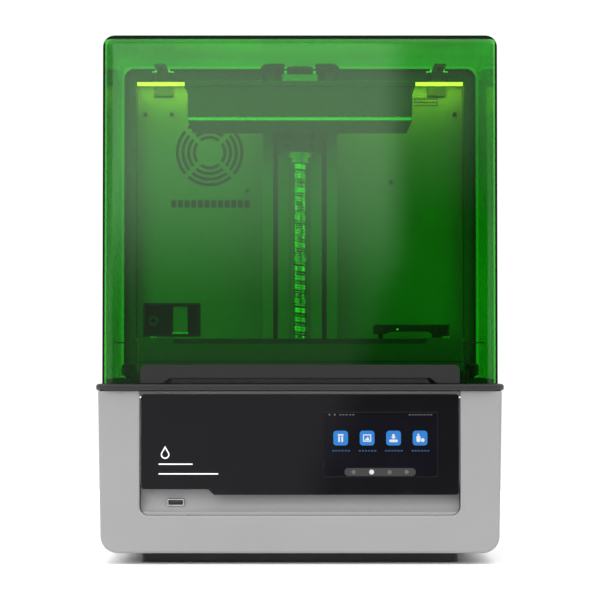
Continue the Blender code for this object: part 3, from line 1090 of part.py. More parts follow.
def build_vat():
    axis = pivot("vat_axis", (0.0, SCREEN_MIDDLE, VAT_FOOT))
    half = VAT_WIDTH / 2
    vat = prism("vat_body", rounded(both(half), (VAT_FRONT, VAT_BACK), (10 * MM,) * 4), VAT_FOOT, VAT_TOP, "Z",
                DARK_TRIM, 1.5 * MM, 2, lambda a, b: a.z > VAT_TOP - 0.1 * MM and b.z > VAT_TOP - 0.1 * MM)
    tank = prism("tank_space", rounded(both(TANK_WIDTH / 2), (TANK_FRONT, TANK_BACK), (TANK_CORNER,) * 4),
                 VAT_FOOT - PAST, VAT_TOP + PAST, "Z")
    film_x = both(TANK_WIDTH / 2 + FILM_MARGIN)
    film_y = (TANK_FRONT - FILM_MARGIN, TANK_BACK + 2 * MM)
    seat = box("film_seat", around(film_x, GAP), around(film_y, GAP), (VAT_FOOT - PAST, VAT_FOOT + FILM_FRAME_THICK + GAP))
    lip = prism("pour_lip", rounded(both(LIP_WIDTH / 2), (VAT_TOP - LIP_DROP, VAT_TOP + PAST), (4 * MM, 4 * MM, 0, 0)),
                VAT_FRONT - PAST, TANK_FRONT + 10 * MM, "Y")
    grips = [box(f"vat_grip_{s}", sorted((s * (half - VAT_GRIP_DEPTH), s * (half + PAST))),
                 (VAT_GRIP_FRONT, VAT_GRIP_FRONT + VAT_GRIP_WIDTH), (VAT_FOOT + 14 * MM, VAT_FOOT + 32 * MM)) for s in (-1, 1)]
    cut(vat, tank, seat, lip, *grips)
    film = box("film_frame", film_x, film_y, (VAT_FOOT, VAT_FOOT + FILM_FRAME_THICK), ALUMINIUM)
    cut(film, box("film_space", both(TANK_WIDTH / 2 - 1 * MM), (TANK_FRONT + 1 * MM, TANK_BACK - 1 * MM),
                  (VAT_FOOT + FILM_THICK, VAT_FOOT + FILM_FRAME_THICK + PAST)))
    for piece in (vat, film):
        hang(piece, axis)


# ---------------------------------------------------------------- feed arm
def build_feed_arm():
    half = FEED_WIDTH / 2
    post_x = around((FEED_PIVOT_X, FEED_PIVOT_X), FEED_POST_HALF)
    post_y = around((FEED_Y, FEED_Y), half + GAP + FEED_EAR)
    post = box("feed_post", post_x, post_y, (ON_DECK, FEED_PIVOT_Z + 5 * MM), DARK_TRIM, 2 * MM, 1,
               lambda a, b: abs(a.z - b.z) > MM)
    fork = box("feed_fork", around(post_x, PAST), around((FEED_Y, FEED_Y), half + GAP),
               (FEED_PIVOT_Z - FEED_HEIGHT / 2 - 2 * MM, FEED_PIVOT_Z + 5 * MM + PAST))
    bore = rod("feed_bore", (FEED_PIVOT_X, FEED_PIVOT_Z), PIN_RADIUS + GAP, *around(post_y, PAST), "Y", None, 20)
    cut(post, fork, bore)

    axis = pivot("feed_axis", (FEED_PIVOT_X, FEED_Y, FEED_PIVOT_Z))
    outline = arc(FEED_PIVOT_X, FEED_PIVOT_Z, FEED_HEIGHT / 2, -90, 90, 6)
    outline += arc(FEED_TIP_X + 3 * MM, FEED_PIVOT_Z + FEED_HEIGHT / 2 - 3 * MM, 3 * MM, 90, 180, 3)
    outline += [(FEED_TIP_X, FEED_PIVOT_Z - FEED_HEIGHT / 2)]
    arm = prism("feed_arm", outline, FEED_Y - half, FEED_Y + half, "Y", BLACK_SHELL)
    pin = rod("feed_pin", (FEED_PIVOT_X, FEED_PIVOT_Z), PIN_RADIUS, *around(post_y, -0.5 * MM), "Y", None, 20)
    nozzle = rod("feed_nozzle", (FEED_TIP_X + 8 * MM, FEED_Y), NOZZLE_RADIUS,
                 FEED_PIVOT_Z - FEED_HEIGHT / 2 - NOZZLE_DROP, FEED_PIVOT_Z, "Z", None, 16)
    join(arm, pin, nozzle)
    hang(arm, axis)


build_base()
build_control_panel()
build_deck()
build_electronics()
build_rear_cover()
build_housing()
build_lid()
build_column()
build_screw()
build_carriage()
build_cradle()
build_vat()
build_feed_arm()
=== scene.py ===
"""Visual model of a resin printer with a flip-up tinted lid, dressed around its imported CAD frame.

Every piece stands in the frame's own metres. The printer's front faces -Y and +Z is up.
"""

import json
import logging
import math
from dataclasses import dataclass
from enum import Enum
from typing import Any, Callable, Iterable, Sequence

import bmesh
import bpy
from mathutils import Matrix, Vector

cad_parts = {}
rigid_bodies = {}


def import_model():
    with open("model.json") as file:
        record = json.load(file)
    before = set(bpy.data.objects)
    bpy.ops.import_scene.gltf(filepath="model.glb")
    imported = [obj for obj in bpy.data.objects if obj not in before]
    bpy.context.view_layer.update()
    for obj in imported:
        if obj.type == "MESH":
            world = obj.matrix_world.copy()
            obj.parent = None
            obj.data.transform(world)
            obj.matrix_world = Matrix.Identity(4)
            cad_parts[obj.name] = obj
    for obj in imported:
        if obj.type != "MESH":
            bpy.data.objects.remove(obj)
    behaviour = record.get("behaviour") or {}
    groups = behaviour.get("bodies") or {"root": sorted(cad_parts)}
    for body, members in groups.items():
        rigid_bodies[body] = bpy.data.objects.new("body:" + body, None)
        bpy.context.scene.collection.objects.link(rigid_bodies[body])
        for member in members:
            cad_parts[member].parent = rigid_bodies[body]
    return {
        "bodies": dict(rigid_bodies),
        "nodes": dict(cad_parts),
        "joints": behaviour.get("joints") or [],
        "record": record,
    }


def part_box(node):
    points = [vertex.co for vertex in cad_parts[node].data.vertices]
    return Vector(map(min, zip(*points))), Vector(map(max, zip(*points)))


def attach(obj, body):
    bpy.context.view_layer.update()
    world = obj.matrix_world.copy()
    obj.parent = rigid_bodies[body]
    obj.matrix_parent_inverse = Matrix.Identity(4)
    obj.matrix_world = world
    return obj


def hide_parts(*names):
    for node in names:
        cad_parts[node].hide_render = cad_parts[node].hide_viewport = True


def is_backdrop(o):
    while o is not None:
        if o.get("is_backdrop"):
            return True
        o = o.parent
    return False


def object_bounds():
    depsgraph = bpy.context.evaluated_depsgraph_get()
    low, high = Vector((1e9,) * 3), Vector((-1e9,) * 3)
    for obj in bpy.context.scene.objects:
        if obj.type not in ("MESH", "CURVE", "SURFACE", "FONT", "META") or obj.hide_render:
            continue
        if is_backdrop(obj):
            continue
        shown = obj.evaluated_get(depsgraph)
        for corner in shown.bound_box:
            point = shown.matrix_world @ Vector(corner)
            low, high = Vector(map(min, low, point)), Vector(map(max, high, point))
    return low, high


MM = 0.001
LOG = logging.getLogger("resin_printer")

Pair = tuple[float, float]
Points = list[tuple[float, float]]
Colour = tuple[float, float, float]
Piece = bpy.types.Object
Surface = bpy.types.Material
Socket = bpy.types.NodeSocket


class Slot(Enum):
    """The record's material slots."""

    GREY = "grey_shell"
    BLACK = "black_shell"
    GLASS = "black_glass"
    LID = "tinted_lid"
    TRIM = "dark_trim"
    ALUMINIUM = "aluminium"
    ANODISED = "anodised"
    STEEL = "steel"
    CIRCUIT = "circuit"
    LENS = "clear_lens"
    SCREEN = "screen_glass"
    LIGHT = "light_strip"


class Axis(Enum):
    """Directions that an outline runs along, each with the turn that carries Z onto it."""

    X = ((0, 0, 1, 0), (1, 0, 0, 0), (0, 1, 0, 0), (0, 0, 0, 1))
    Y = ((1, 0, 0, 0), (0, 0, 1, 0), (0, 1, 0, 0), (0, 0, 0, 1))
    Z = ((1, 0, 0, 0), (0, 1, 0, 0), (0, 0, 1, 0), (0, 0, 0, 1))

    @property
    def turn(self) -> Matrix:
        """The turn as a matrix."""
        return Matrix(self.value)

    @property
    def along(self) -> Vector:
        """Unit vector along the axis."""
        return Vector([1.0 if self.name == letter else 0.0 for letter in "XYZ"])


# ---- node trees
class Sheet:
    """A node tree with short ways to add and wire nodes."""

    def __init__(self, tree: bpy.types.NodeTree) -> None:
        """Wrap a tree."""
        self.tree = tree

    def add(self, kind: str, inputs: dict[Any, Any] | None = None, **settings: Any) -> bpy.types.Node:
        """Add a node.

        Args:
            kind: the node's type name.
            inputs: input name or number to a value, or to an output socket that is linked in.
            settings: attributes of the node.

        Returns:
            The new node.
        """
        node = self.tree.nodes.new(kind)
        for name, value in settings.items():
            setattr(node, name, value)
        for key, value in (inputs or {}).items():
            socket = node.inputs[key]
            if isinstance(value, Socket):
                self.tree.links.new(value, socket)
            else:
                socket.default_value = value
        return node

    def noise(self, place: Socket, scale: float, detail: float = 2.0) -> Socket:
        """A noise's value at a place."""
        return self.add("ShaderNodeTexNoise", {"Vector": place, "Scale": scale, "Detail": detail}).outputs[0]

    def blend(self, share: Socket, first: Sequence[float], second: Sequence[float]) -> Socket:
        """Mix two colours.

        Args:
            share: how much of the second colour there is, between 0 and 1.
            first: the first colour.
            second: the second colour.

        Returns:
            The mixed colour.
        """
        node = self.add("ShaderNodeMix", {"Factor": share}, data_type="RGBA")
        node.inputs["A"].default_value = (*first, 1.0)
        node.inputs["B"].default_value = (*second, 1.0)
        return node.outputs["Result"]

    def math(self, operation: str, *values: float | Socket) -> Socket:
        """The result of a sum on numbers or sockets."""
        return self.add("ShaderNodeMath", dict(enumerate(values)), operation=operation).outputs[0]

    def bump(self, height: Socket, strength: float, reach: float) -> Socket:
        """A normal tilted by a height."""
        node = self.add("ShaderNodeBump", {"Strength": strength, "Distance": reach, "Height": height})
        return node.outputs["Normal"]

    def feed(self, shader: bpy.types.Node, **sources: Socket) -> None:
        """Link results to a shader's inputs, named with underscores for spaces."""
        for name, source in sources.items():
            self.tree.links.new(source, shader.inputs[name.replace("_", " ")])

    def spread(self, source: Socket, low: float, high: float) -> Socket:
        """Map the middle of a noise onto low to high.

        Args:
            source: a value between 0 and 1.
            low: result where the noise is low.
            high: result where the noise is high.

        Returns:
            The mapped value.
        """
        node = self.add("ShaderNodeMapRange", {"Value": source, "From Min": 0.3, "From Max": 0.7,
                                               "To Min": low, "To Max": high})
        return node.outputs["Result"]


def new_material(name: str) -> tuple[Surface, Sheet, bpy.types.Node, Socket]:
    """Start a material.

    Args:
        name: the finish's name.

    Returns:
        The material, its sheet, its Principled node and the Object coordinates.
    """
    made = bpy.data.materials.new(name)
    made.use_nodes = True
    sheet = Sheet(made.node_tree)
    shader = made.node_tree.nodes["Principled BSDF"]
    place = sheet.add("ShaderNodeTexCoord").outputs["Object"]
    return made, sheet, shader, place


# ---- finishes
@dataclass(frozen=True)
class Moulded:
    """Moulded or painted plastic with a fine spark-eroded grain."""

    name: str
    colour: Colour
    rough: float = 0.45
    grain: float = 0.5 * MM
    depth: float = 0.12
    mottle: float = 0.06
    gloss: float = 0.5

    def make(self) -> Surface:
        """Build the material.

        Returns:
            The material.
        """
        made, sheet, shader, place = new_material(self.name)
        shader.inputs["Specular IOR Level"].default_value = self.gloss
        dark = tuple(c * (1.0 - self.mottle) for c in self.colour)
        light = tuple(min(1.0, c * (1.0 + self.mottle)) for c in self.colour)
        tone = sheet.blend(sheet.noise(place, 14.0, 3.0), dark, light)
        rough = sheet.spread(sheet.noise(place, 90.0, 4.0), self.rough - 0.05, self.rough + 0.05)
        normal = sheet.bump(sheet.noise(place, 1.0 / self.grain), self.depth, 0.1 * MM)
        sheet.feed(shader, Base_Color=tone, Roughness=rough, Normal=normal)
        return made


@dataclass(frozen=True)
class Metal:
    """Bare or anodised metal; grain stretched along one axis reads as brushed or ground."""

    name: str
    colour: Colour
    rough: float = 0.3
    stretch: Colour = (1.0, 1.0, 1.0)
    grain: float = 0.4 * MM
    depth: float = 0.1
    metallic: float = 1.0

    def make(self) -> Surface:
        """Build the material.

        Returns:
            The material.
        """
        made, sheet, shader, place = new_material(self.name)
        shader.inputs["Metallic"].default_value = self.metallic
        drawn = sheet.add("ShaderNodeMapping", {"Vector": place, "Scale": self.stretch})
        dark = tuple(c * 0.9 for c in self.colour)
        light = tuple(min(1.0, c * 1.06) for c in self.colour)
        tone = sheet.blend(sheet.noise(place, 22.0, 4.0), dark, light)
        lines = sheet.noise(drawn.outputs[0], 1.0 / self.grain, 3.0)
        rough = sheet.spread(lines, self.rough - 0.07, self.rough + 0.07)
        normal = sheet.bump(lines, self.depth, 0.05 * MM)
        sheet.feed(shader, Base_Color=tone, Roughness=rough, Normal=normal)
        return made


@dataclass(frozen=True)
class Polished:
    """Glossy cover glass or a printed film behind it."""

    name: str
    colour: Colour
    rough: float = 0.04

    def make(self) -> Surface:
        """Build the material.

        Returns:
            The material.
        """
        made, sheet, shader, place = new_material(self.name)
        dark = tuple(c * 0.85 for c in self.colour)
        light = tuple(c * 1.15 for c in self.colour)
        tone = sheet.blend(sheet.noise(place, 9.0), dark, light)
        rough = sheet.spread(sheet.noise(place, 35.0, 6.0), self.rough * 0.6, self.rough * 1.8)
        sheet.feed(shader, Base_Color=tone, Roughness=rough)
        return made


@dataclass(frozen=True)
class TintedAcrylic:
    """Clear tinted sheet: each surface takes half of the wall's tint and mirrors a little."""

    name: str
    face: Colour
    edge: Colour
    grazing: float = 0.5
    mirror: float = 0.036

    def make(self) -> Surface:
        """Build the material.

        Returns:
            The material.
        """
        made, sheet, shader, place = new_material(self.name)
        made.node_tree.nodes.remove(shader)
        facing = sheet.add("ShaderNodeLayerWeight", {"Blend": 0.5}).outputs["Facing"]
        steep = sheet.add("ShaderNodeMapRange", {"Value": facing, "From Min": 0.55, "From Max": 0.97})
        waves = sheet.noise(place, 6.0, 1.0)
        soft = sheet.spread(waves, 0.0, 0.04)
        depth = sheet.math("MULTIPLY_ADD", steep.outputs[0], waves, soft)
        tint = sheet.blend(depth, self.face, self.edge)
        clear = sheet.add("ShaderNodeBsdfTransparent", {"Color": tint})
        shine = sheet.add("ShaderNodeBsdfGlossy", {"Color": (0.95, 1.0, 0.95, 1.0), "Roughness": 0.03})
        rise = sheet.math("POWER", facing, 5.0)
        share = sheet.math("MULTIPLY_ADD", rise, self.grazing, self.mirror)
        mixed = sheet.add("ShaderNodeMixShader", {0: share, 1: clear.outputs[0], 2: shine.outputs[0]})
        sheet.feed(made.node_tree.nodes["Material Output"], Surface=mixed.outputs[0])
        return made


@dataclass(frozen=True)
class Glow:
    """A lit surface, such as a lamp strip or a shape on the display."""

    name: str
    colour: Colour
    strength: float = 1.0
    body: Colour = (0.02, 0.02, 0.02)

    def make(self) -> Surface:
        """Build the material.

        Returns:
            The material.
        """
        made, sheet, shader, place = new_material(self.name)
        shader.inputs["Emission Color"].default_value = (*self.colour, 1.0)
        shader.inputs["Emission Strength"].default_value = self.strength
        shader.inputs["Base Color"].default_value = (*self.body, 1.0)
        sheet.feed(shader, Roughness=sheet.spread(sheet.noise(place, 300.0), 0.25, 0.4))
        return made


@dataclass(frozen=True)
class ClearGlass:
    """Untinted glass or film."""

    name: str
    colour: Colour = (0.9, 0.93, 0.95)
    rough: float = 0.03

    def make(self) -> Surface:
        """Build the material.

        Returns:
            The material.
        """
        made, sheet, shader, place = new_material(self.name)
        shader.inputs["Base Color"].default_value = (*self.colour, 1.0)
        shader.inputs["Transmission Weight"].default_value = 1.0
        shader.inputs["IOR"].default_value = 1.45
        sheet.feed(shader, Roughness=sheet.spread(sheet.noise(place, 40.0),
                                                  self.rough * 0.5, self.rough * 1.5))
        return made


class Finishes:
    """Every finish of the printer, each made once."""

    def __init__(self) -> None:
        """Make the materials."""
        self.grey = Moulded("satin_grey_shell", (0.212, 0.212, 0.212), 0.42).make()
        self.black = Moulded("satin_black_shell", (0.014, 0.014, 0.015), 0.45, gloss=0.3).make()
        self.chamber = Moulded("painted_chamber_wall", (0.165, 0.168, 0.165), 0.5, 0.8 * MM, 0.2).make()
        self.housing = Moulded("dark_housing_paint", (0.05, 0.051, 0.05), 0.5, 0.8 * MM, 0.2).make()
        self.trim = Moulded("charcoal_trim", (0.009, 0.0095, 0.009), 0.5, gloss=0.28).make()
        self.vat = Moulded("cast_vat_coating", (0.03, 0.032, 0.031), 0.4, 0.7 * MM).make()
        self.rubber = Moulded("black_gasket_rubber", (0.006, 0.006, 0.006), 0.8, 0.6 * MM, 0.2).make()
        self.glass = Polished("black_cover_glass", (0.004, 0.004, 0.005)).make()
        self.screen = Polished("display_glass", (0.003, 0.003, 0.005), 0.05).make()
        self.lid = TintedAcrylic("green_acrylic", (0.24, 0.85, 0.20), (0.01, 0.30, 0.01)).make()
        # Painted shade: a copy of the lid acrylic with a deeper grazing tint and almost no grazing mirror,
        # so the top wall reads darker than the same sheet elsewhere.
        self.lid_top_shaded = TintedAcrylic("green_acrylic_top_shaded", (0.24, 0.85, 0.20),
                                     (0.01, 0.24, 0.01), 0.05).make()
        # Painted shade: near-black acrylic for the lid's forward outer rounds, standing in for the dark
        # refraction at a thick edge.
        self.lid_painted_dark_edge = TintedAcrylic("green_acrylic_painted_dark_edge", (0.02, 0.03, 0.02),
                                      (0.015, 0.02, 0.015), 0.02, 0.008).make()
        # Painted shade: the plate's underside metal is much darker than the plate's own aluminium; only its
        # roughness is the grinding finish.
        self.shaded_ground_metal = Metal("painted_shade_ground_underside", (0.10, 0.105, 0.10), 0.6).make()
        self.blasted = Metal("blasted_aluminium", (0.60, 0.61, 0.62), 0.38).make()
        self.machined = Metal("machined_aluminium", (0.74, 0.75, 0.76), 0.24, (0.05, 1.0, 1.0)).make()
        self.anodised = Metal("black_anodised", (0.10, 0.10, 0.105), 0.38, (1.0, 1.0, 0.08)).make()
        self.column = Metal("grey_anodised_column", (0.26, 0.265, 0.27), 0.4, (1.0, 1.0, 0.05)).make()
        self.steel = Metal("ground_steel", (0.62, 0.62, 0.63), 0.2, (1.0, 1.0, 0.06)).make()
        self.thread = Metal("polished_screw_steel", (0.78, 0.78, 0.79), 0.16, (1.0, 1.0, 4.0)).make()
        self.bolt = Metal("black_oxide_bolts", (0.05, 0.05, 0.052), 0.35).make()
        self.board = Moulded("green_circuit_board", (0.012, 0.09, 0.035), 0.35, 0.9 * MM, 0.3).make()
        self.chip = Moulded("chip_housing", (0.012, 0.012, 0.013), 0.55).make()
        self.lens = ClearGlass("moulded_lens").make()
        self.lamp = Glow("warm_light_strip", (1.0, 0.34, 0.10), 14.0, (0.8, 0.8, 0.6)).make()
        self.blue = Glow("display_blue", (0.002, 0.19, 0.64), 0.95, (0.001, 0.01, 0.02)).make()
        self.label = Glow("display_label_blue", (0.002, 0.05, 0.19), 0.9, (0.001, 0.01, 0.02)).make()
        self.white = Glow("display_white", (0.85, 0.88, 0.92), 0.85).make()
        self.dim = Glow("display_grey", (0.12, 0.125, 0.13), 0.8).make()
        # Pale print and LED faces; the same finish also paints the glint dots at the panel notch.
        self.mark = Moulded("pale_marks_and_painted_glints", (0.75, 0.76, 0.76), 0.35, 0.5 * MM, 0.02).make()


# ---- mesh making
def both(half: float) -> Pair:
    """A pair symmetric about zero."""
    return (-half, half)


def around(pair: Pair, amount: float) -> Pair:
    """A pair widened by amount at both ends."""
    return (pair[0] - amount, pair[1] + amount)


def about(value: float, half: float) -> Pair:
    """A pair that reaches half below and half above a value."""
    return (value - half, value + half)


def arc(cu: float, cv: float, radius: float, start: float, end: float, steps: int) -> Points:
    """Points along an arc.

    Args:
        cu: centre, first coordinate.
        cv: centre, second coordinate.
        radius: the arc's radius.
        start: first angle in degrees.
        end: last angle in degrees.
        steps: how many pieces the arc has.

    Returns:
        The points, ends included.
    """
    turns = [math.radians(start + (end - start) * i / steps) for i in range(steps + 1)]
    return [(cu + radius * math.cos(t), cv + radius * math.sin(t)) for t in turns]


def rounded(u: Pair, v: Pair, radii: float | Sequence[float], steps: int = 10) -> Points:
    """Outline of a rectangle.

    Args:
        u: its first span.
        v: its second span.
        radii: one corner radius, or all four, low-low first, then anticlockwise.
        steps: pieces of each corner's arc.

    Returns:
        The outline, anticlockwise.
    """
    corners = ((u[0], v[0], 1, 1, 180), (u[1], v[0], -1, 1, 270),
               (u[1], v[1], -1, -1, 0), (u[0], v[1], 1, -1, 90))
    four = (radii,) * 4 if isinstance(radii, float) else radii
    points: Points = []
    for (cu, cv, su, sv, start), radius in zip(corners, four):
        if radius:
            points += arc(cu + su * radius, cv + sv * radius, radius, start, start + 90, steps)
        else:
            points.append((cu, cv))
    return points


def as_object(name: str, bm: bmesh.types.BMesh) -> Piece:
    """Turn a bmesh in world coordinates into an object at the origin.

    Args:
        name: the object's name.
        bm: the bmesh, which is used up.

    Returns:
        The object.
    """
    mesh = bpy.data.meshes.new(name)
    bm.to_mesh(mesh)
    bm.free()
    made = bpy.data.objects.new(name, mesh)
    bpy.context.scene.collection.objects.link(made)
    return made


def prism(name: str, points: Points, low: float, high: float, axis: Axis) -> Piece:
    """An object of an outline run along an axis.

    Args:
        name: the object's name.
        points: the outline in the two other axes.
        low: where it starts along the axis.
        high: where it ends.
        axis: the axis.

    Returns:
        The object.
    """
    bm = bmesh.new()
    face = bm.faces.new([bm.verts.new((u, v, low)) for u, v in points])
    grown = bmesh.ops.extrude_face_region(bm, geom=[face])
    tops = [g for g in grown["geom"] if isinstance(g, bmesh.types.BMVert)]
    bmesh.ops.translate(bm, verts=tops, vec=(0.0, 0.0, high - low))
    bmesh.ops.transform(bm, matrix=axis.turn, verts=bm.verts)
    bmesh.ops.recalc_face_normals(bm, faces=bm.faces)
    return as_object(name, bm)


def block(name: str, x: Pair, y: Pair, z: Pair) -> Piece:
    """A plain box, used as a cutter or before its edges are rounded."""
    return prism(name, [(x[0], y[0]), (x[1], y[0]), (x[1], y[1]), (x[0], y[1])], z[0], z[1], Axis.Z)


def turned(name: str, profile: Points, centre: Sequence[float], axis: Axis, steps: int = 48) -> Piece:
    """A turned piece.

    Args:
        name: the object's name.
        profile: closed (radius, height) outline; a point at radius 0 is on the axis.
        centre: a point on the axis in world coordinates, where height is 0.
        axis: direction of the axis.
        steps: facets round the piece.

    Returns:
        The object.
    """
    bm = bmesh.new()
    ring = [bm.verts.new((r, 0.0, h)) for r, h in profile]
    edges = [bm.edges.new((a, b)) for a, b in zip(ring, ring[1:])]
    if profile[0][0] > 0 or profile[-1][0] > 0:
        edges.append(bm.edges.new((ring[-1], ring[0])))
    bmesh.ops.spin(bm, geom=ring + edges, cent=(0, 0, 0), axis=(0, 0, 1), angle=2 * math.pi, steps=steps,
                   use_duplicate=False, use_merge=True)
    bmesh.ops.remove_doubles(bm, verts=bm.verts, dist=1e-6)
    bmesh.ops.transform(bm, matrix=Matrix.Translation(Vector(centre)) @ axis.turn, verts=bm.verts)
    bmesh.ops.recalc_face_normals(bm, faces=bm.faces)
    return as_object(name, bm)


def rod(name: str, radius: float, ends: Pair, centre: Sequence[float], axis: Axis, steps: int = 32) -> Piece:
    """A plain round bar between two heights over centre."""
    low, high = ends
    return turned(name, [(0.0, low), (radius, low), (radius, high), (0.0, high)], centre, axis, steps)


def circle(cu: float, cv: float, radius: float, steps: int) -> Points:
    """The outline of a circle."""
    return arc(cu, cv, radius, 0, 360, steps)[:-1]


def baked(piece: Piece) -> Piece:
    """Apply a piece's modifiers to its mesh.

    Args:
        piece: the piece.

    Returns:
        The same piece, with a plain mesh.
    """
    bpy.context.view_layer.update()
    graph = bpy.context.evaluated_depsgraph_get()
    mesh = bpy.data.meshes.new_from_object(piece.evaluated_get(graph))
    old = piece.data
    piece.modifiers.clear()
    piece.data = mesh
    bpy.data.meshes.remove(old)
    return piece


def carve(piece: Piece, others: Iterable[Piece], operation: str = "DIFFERENCE") -> Piece:
    """Cut or join a piece with others, which are used up.

    Args:
        piece: the piece to change.
        others: the cutters, or the pieces to add.
        operation: DIFFERENCE or UNION.

    Returns:
        The changed piece.
    """
    others = list(others)
    for number, other in enumerate(others):
        step = piece.modifiers.new(f"step_{number}", "BOOLEAN")
        step.operation = operation
        step.object = other
    baked(piece)
    for other in others:
        bpy.data.objects.remove(other, do_unlink=True)
    return piece


def tidy(piece: Piece) -> Piece:
    """Merge doubles and join faces that lie in one plane.

    Args:
        piece: the piece.

    Returns:
        The same piece.
    """
    bm = bmesh.new()
    bm.from_mesh(piece.data)
    bmesh.ops.remove_doubles(bm, verts=bm.verts, dist=2e-6)
    bmesh.ops.dissolve_limit(bm, angle_limit=math.radians(0.4), verts=bm.verts, edges=bm.edges)
    bm.to_mesh(piece.data)
    bm.free()
    return piece


def soften(piece: Piece, width: float, segments: int = 3, angle: float = 32.0) -> Piece:
    """Round a piece's sharp edges and weight its normals.

    Args:
        piece: the piece.
        width: the bevel's width.
        segments: the bevel's segments.
        angle: edges sharper than this are rounded, in degrees.

    Returns:
        The piece.
    """
    if width:
        bevel = piece.modifiers.new("edges", "BEVEL")
        bevel.width = width
        bevel.segments = segments
        bevel.limit_method = "ANGLE"
        bevel.angle_limit = math.radians(angle)
        bevel.use_clamp_overlap = True
        baked(piece)
    piece.data.shade_smooth()
    piece.data.set_sharp_from_angle(angle=math.radians(40))
    weigh = piece.modifiers.new("normals", "WEIGHTED_NORMAL")
    weigh.keep_sharp = True
    return baked(piece)


def round_edges(piece: Piece, width: float, segments: int,
                wanted: Callable[[Vector, Vector], bool]) -> Piece:
    """Round chosen edges.

    Args:
        piece: the piece.
        width: the bevel's width.
        segments: the bevel's segments.
        wanted: tells from an edge's two ends whether it is rounded.

    Returns:
        The same piece.
    """
    bm = bmesh.new()
    bm.from_mesh(piece.data)
    picked = [e for e in bm.edges if wanted(e.verts[0].co, e.verts[1].co)]
    bmesh.ops.bevel(bm, geom=picked, offset=width, segments=segments, profile=0.5, affect="EDGES",
                    clamp_overlap=True)
    bm.to_mesh(piece.data)
    bm.free()
    return piece


def show(piece: Piece, finish: Surface, body: str, slot: Slot, *nodes: str) -> Piece:
    """Dress a finished piece and hand it to the frame.

    Args:
        piece: the piece, at the origin.
        finish: its material.
        body: the CAD body it rides on.
        slot: not used; the record's slot for its finish.
        nodes: the CAD nodes it stands for.

    Returns:
        The piece.
    """
    piece.data.materials.clear()
    piece.data.materials.append(finish)
    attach(piece, body)
    if nodes:
        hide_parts(*nodes)
    return piece


def merged(name: str, pieces: Sequence[Piece]) -> Piece:
    """Join pieces into one object, as separate shells of one mesh.

    Args:
        name: the object's name.
        pieces: the pieces, which are used up.

    Returns:
        The object.
    """
    bm = bmesh.new()
    for piece in pieces:
        bm.from_mesh(piece.data)
        bpy.data.objects.remove(piece, do_unlink=True)
    return as_object(name, bm)


# ---- Geometry Nodes
class NodeShape:
    """A Geometry Nodes tree with named inputs, whose result becomes one plain mesh."""

    KINDS = {float: "NodeSocketFloat", int: "NodeSocketInt", tuple: "NodeSocketVector",
             Piece: "NodeSocketObject"}

    def __init__(self, name: str) -> None:
        """Start an empty tree.

        Args:
            name: the name of the tree and of the piece.
        """
        self.name = name
        self.tree = bpy.data.node_groups.new(name, "GeometryNodeTree")
        self.tree.interface.new_socket("Geometry", in_out="OUTPUT", socket_type="NodeSocketGeometry")
        self.sheet = Sheet(self.tree)
        self.source = self.sheet.add("NodeGroupInput")
        self.values: dict[str, Any] = {}

    def size(self, name: str, value: Any) -> Socket:
        """Add a named input.

        Args:
            name: the input's name.
            value: its value, whose type decides the socket's.

        Returns:
            The input's socket inside the tree.
        """
        item = self.tree.interface.new_socket(name, in_out="INPUT", socket_type=self.KINDS[type(value)])
        self.values[item.identifier] = value
        return self.source.outputs[name]

    def make(self, geometry: Socket, finish: Surface) -> Piece:
        """Close the tree and turn its result into a plain mesh.

        Args:
            geometry: the last geometry of the tree.
            finish: the material that the tree sets.

        Returns:
            An object at the origin with a plain mesh.
        """
        real = self.sheet.add("GeometryNodeRealizeInstances", {"Geometry": geometry}).outputs[0]
        dressed = self.sheet.add("GeometryNodeSetMaterial",
                                 {"Geometry": real, "Material": finish}).outputs[0]
        self.sheet.add("NodeGroupOutput", {0: dressed})
        carrier = bpy.data.objects.new(self.name, bpy.data.meshes.new(self.name))
        bpy.context.scene.collection.objects.link(carrier)
        maker = carrier.modifiers.new("repeat", "NODES")
        maker.node_group = self.tree
        for identifier, value in self.values.items():
            maker[identifier] = value
        return baked(carrier)


def rows_of(name: str, shape: Piece, count: int, step: Colour, finish: Surface,
            rows: int = 1, row_step: Colour = (0.0, 0.0, 0.0)) -> Piece:
    """Repeat a shape along a line, and that line along another.

    Args:
        name: the result's name.
        shape: the shape, made in place for the first spot; it is used up.
        count: shapes in a row.
        step: from one shape to the next.
        finish: the material.
        rows: how many rows.
        row_step: from one row to the next.

    Returns:
        One plain mesh.
    """
    net = NodeShape(name)
    part = net.sheet.add("GeometryNodeObjectInfo", {"Object": net.size("Shape", shape)}).outputs["Geometry"]
    for number, (many, stride) in enumerate(((count, step), (rows, row_step))):
        spots = net.sheet.add("GeometryNodeMeshLine", {"Count": net.size(f"Count {number}", many),
                                                       "Offset": net.size(f"Step {number}", tuple(stride))})
        part = net.sheet.add("GeometryNodeInstanceOnPoints",
                             {"Points": spots.outputs[0], "Instance": part}).outputs[0]
    made = net.make(part, finish)
    bpy.data.objects.remove(shape, do_unlink=True)
    return made


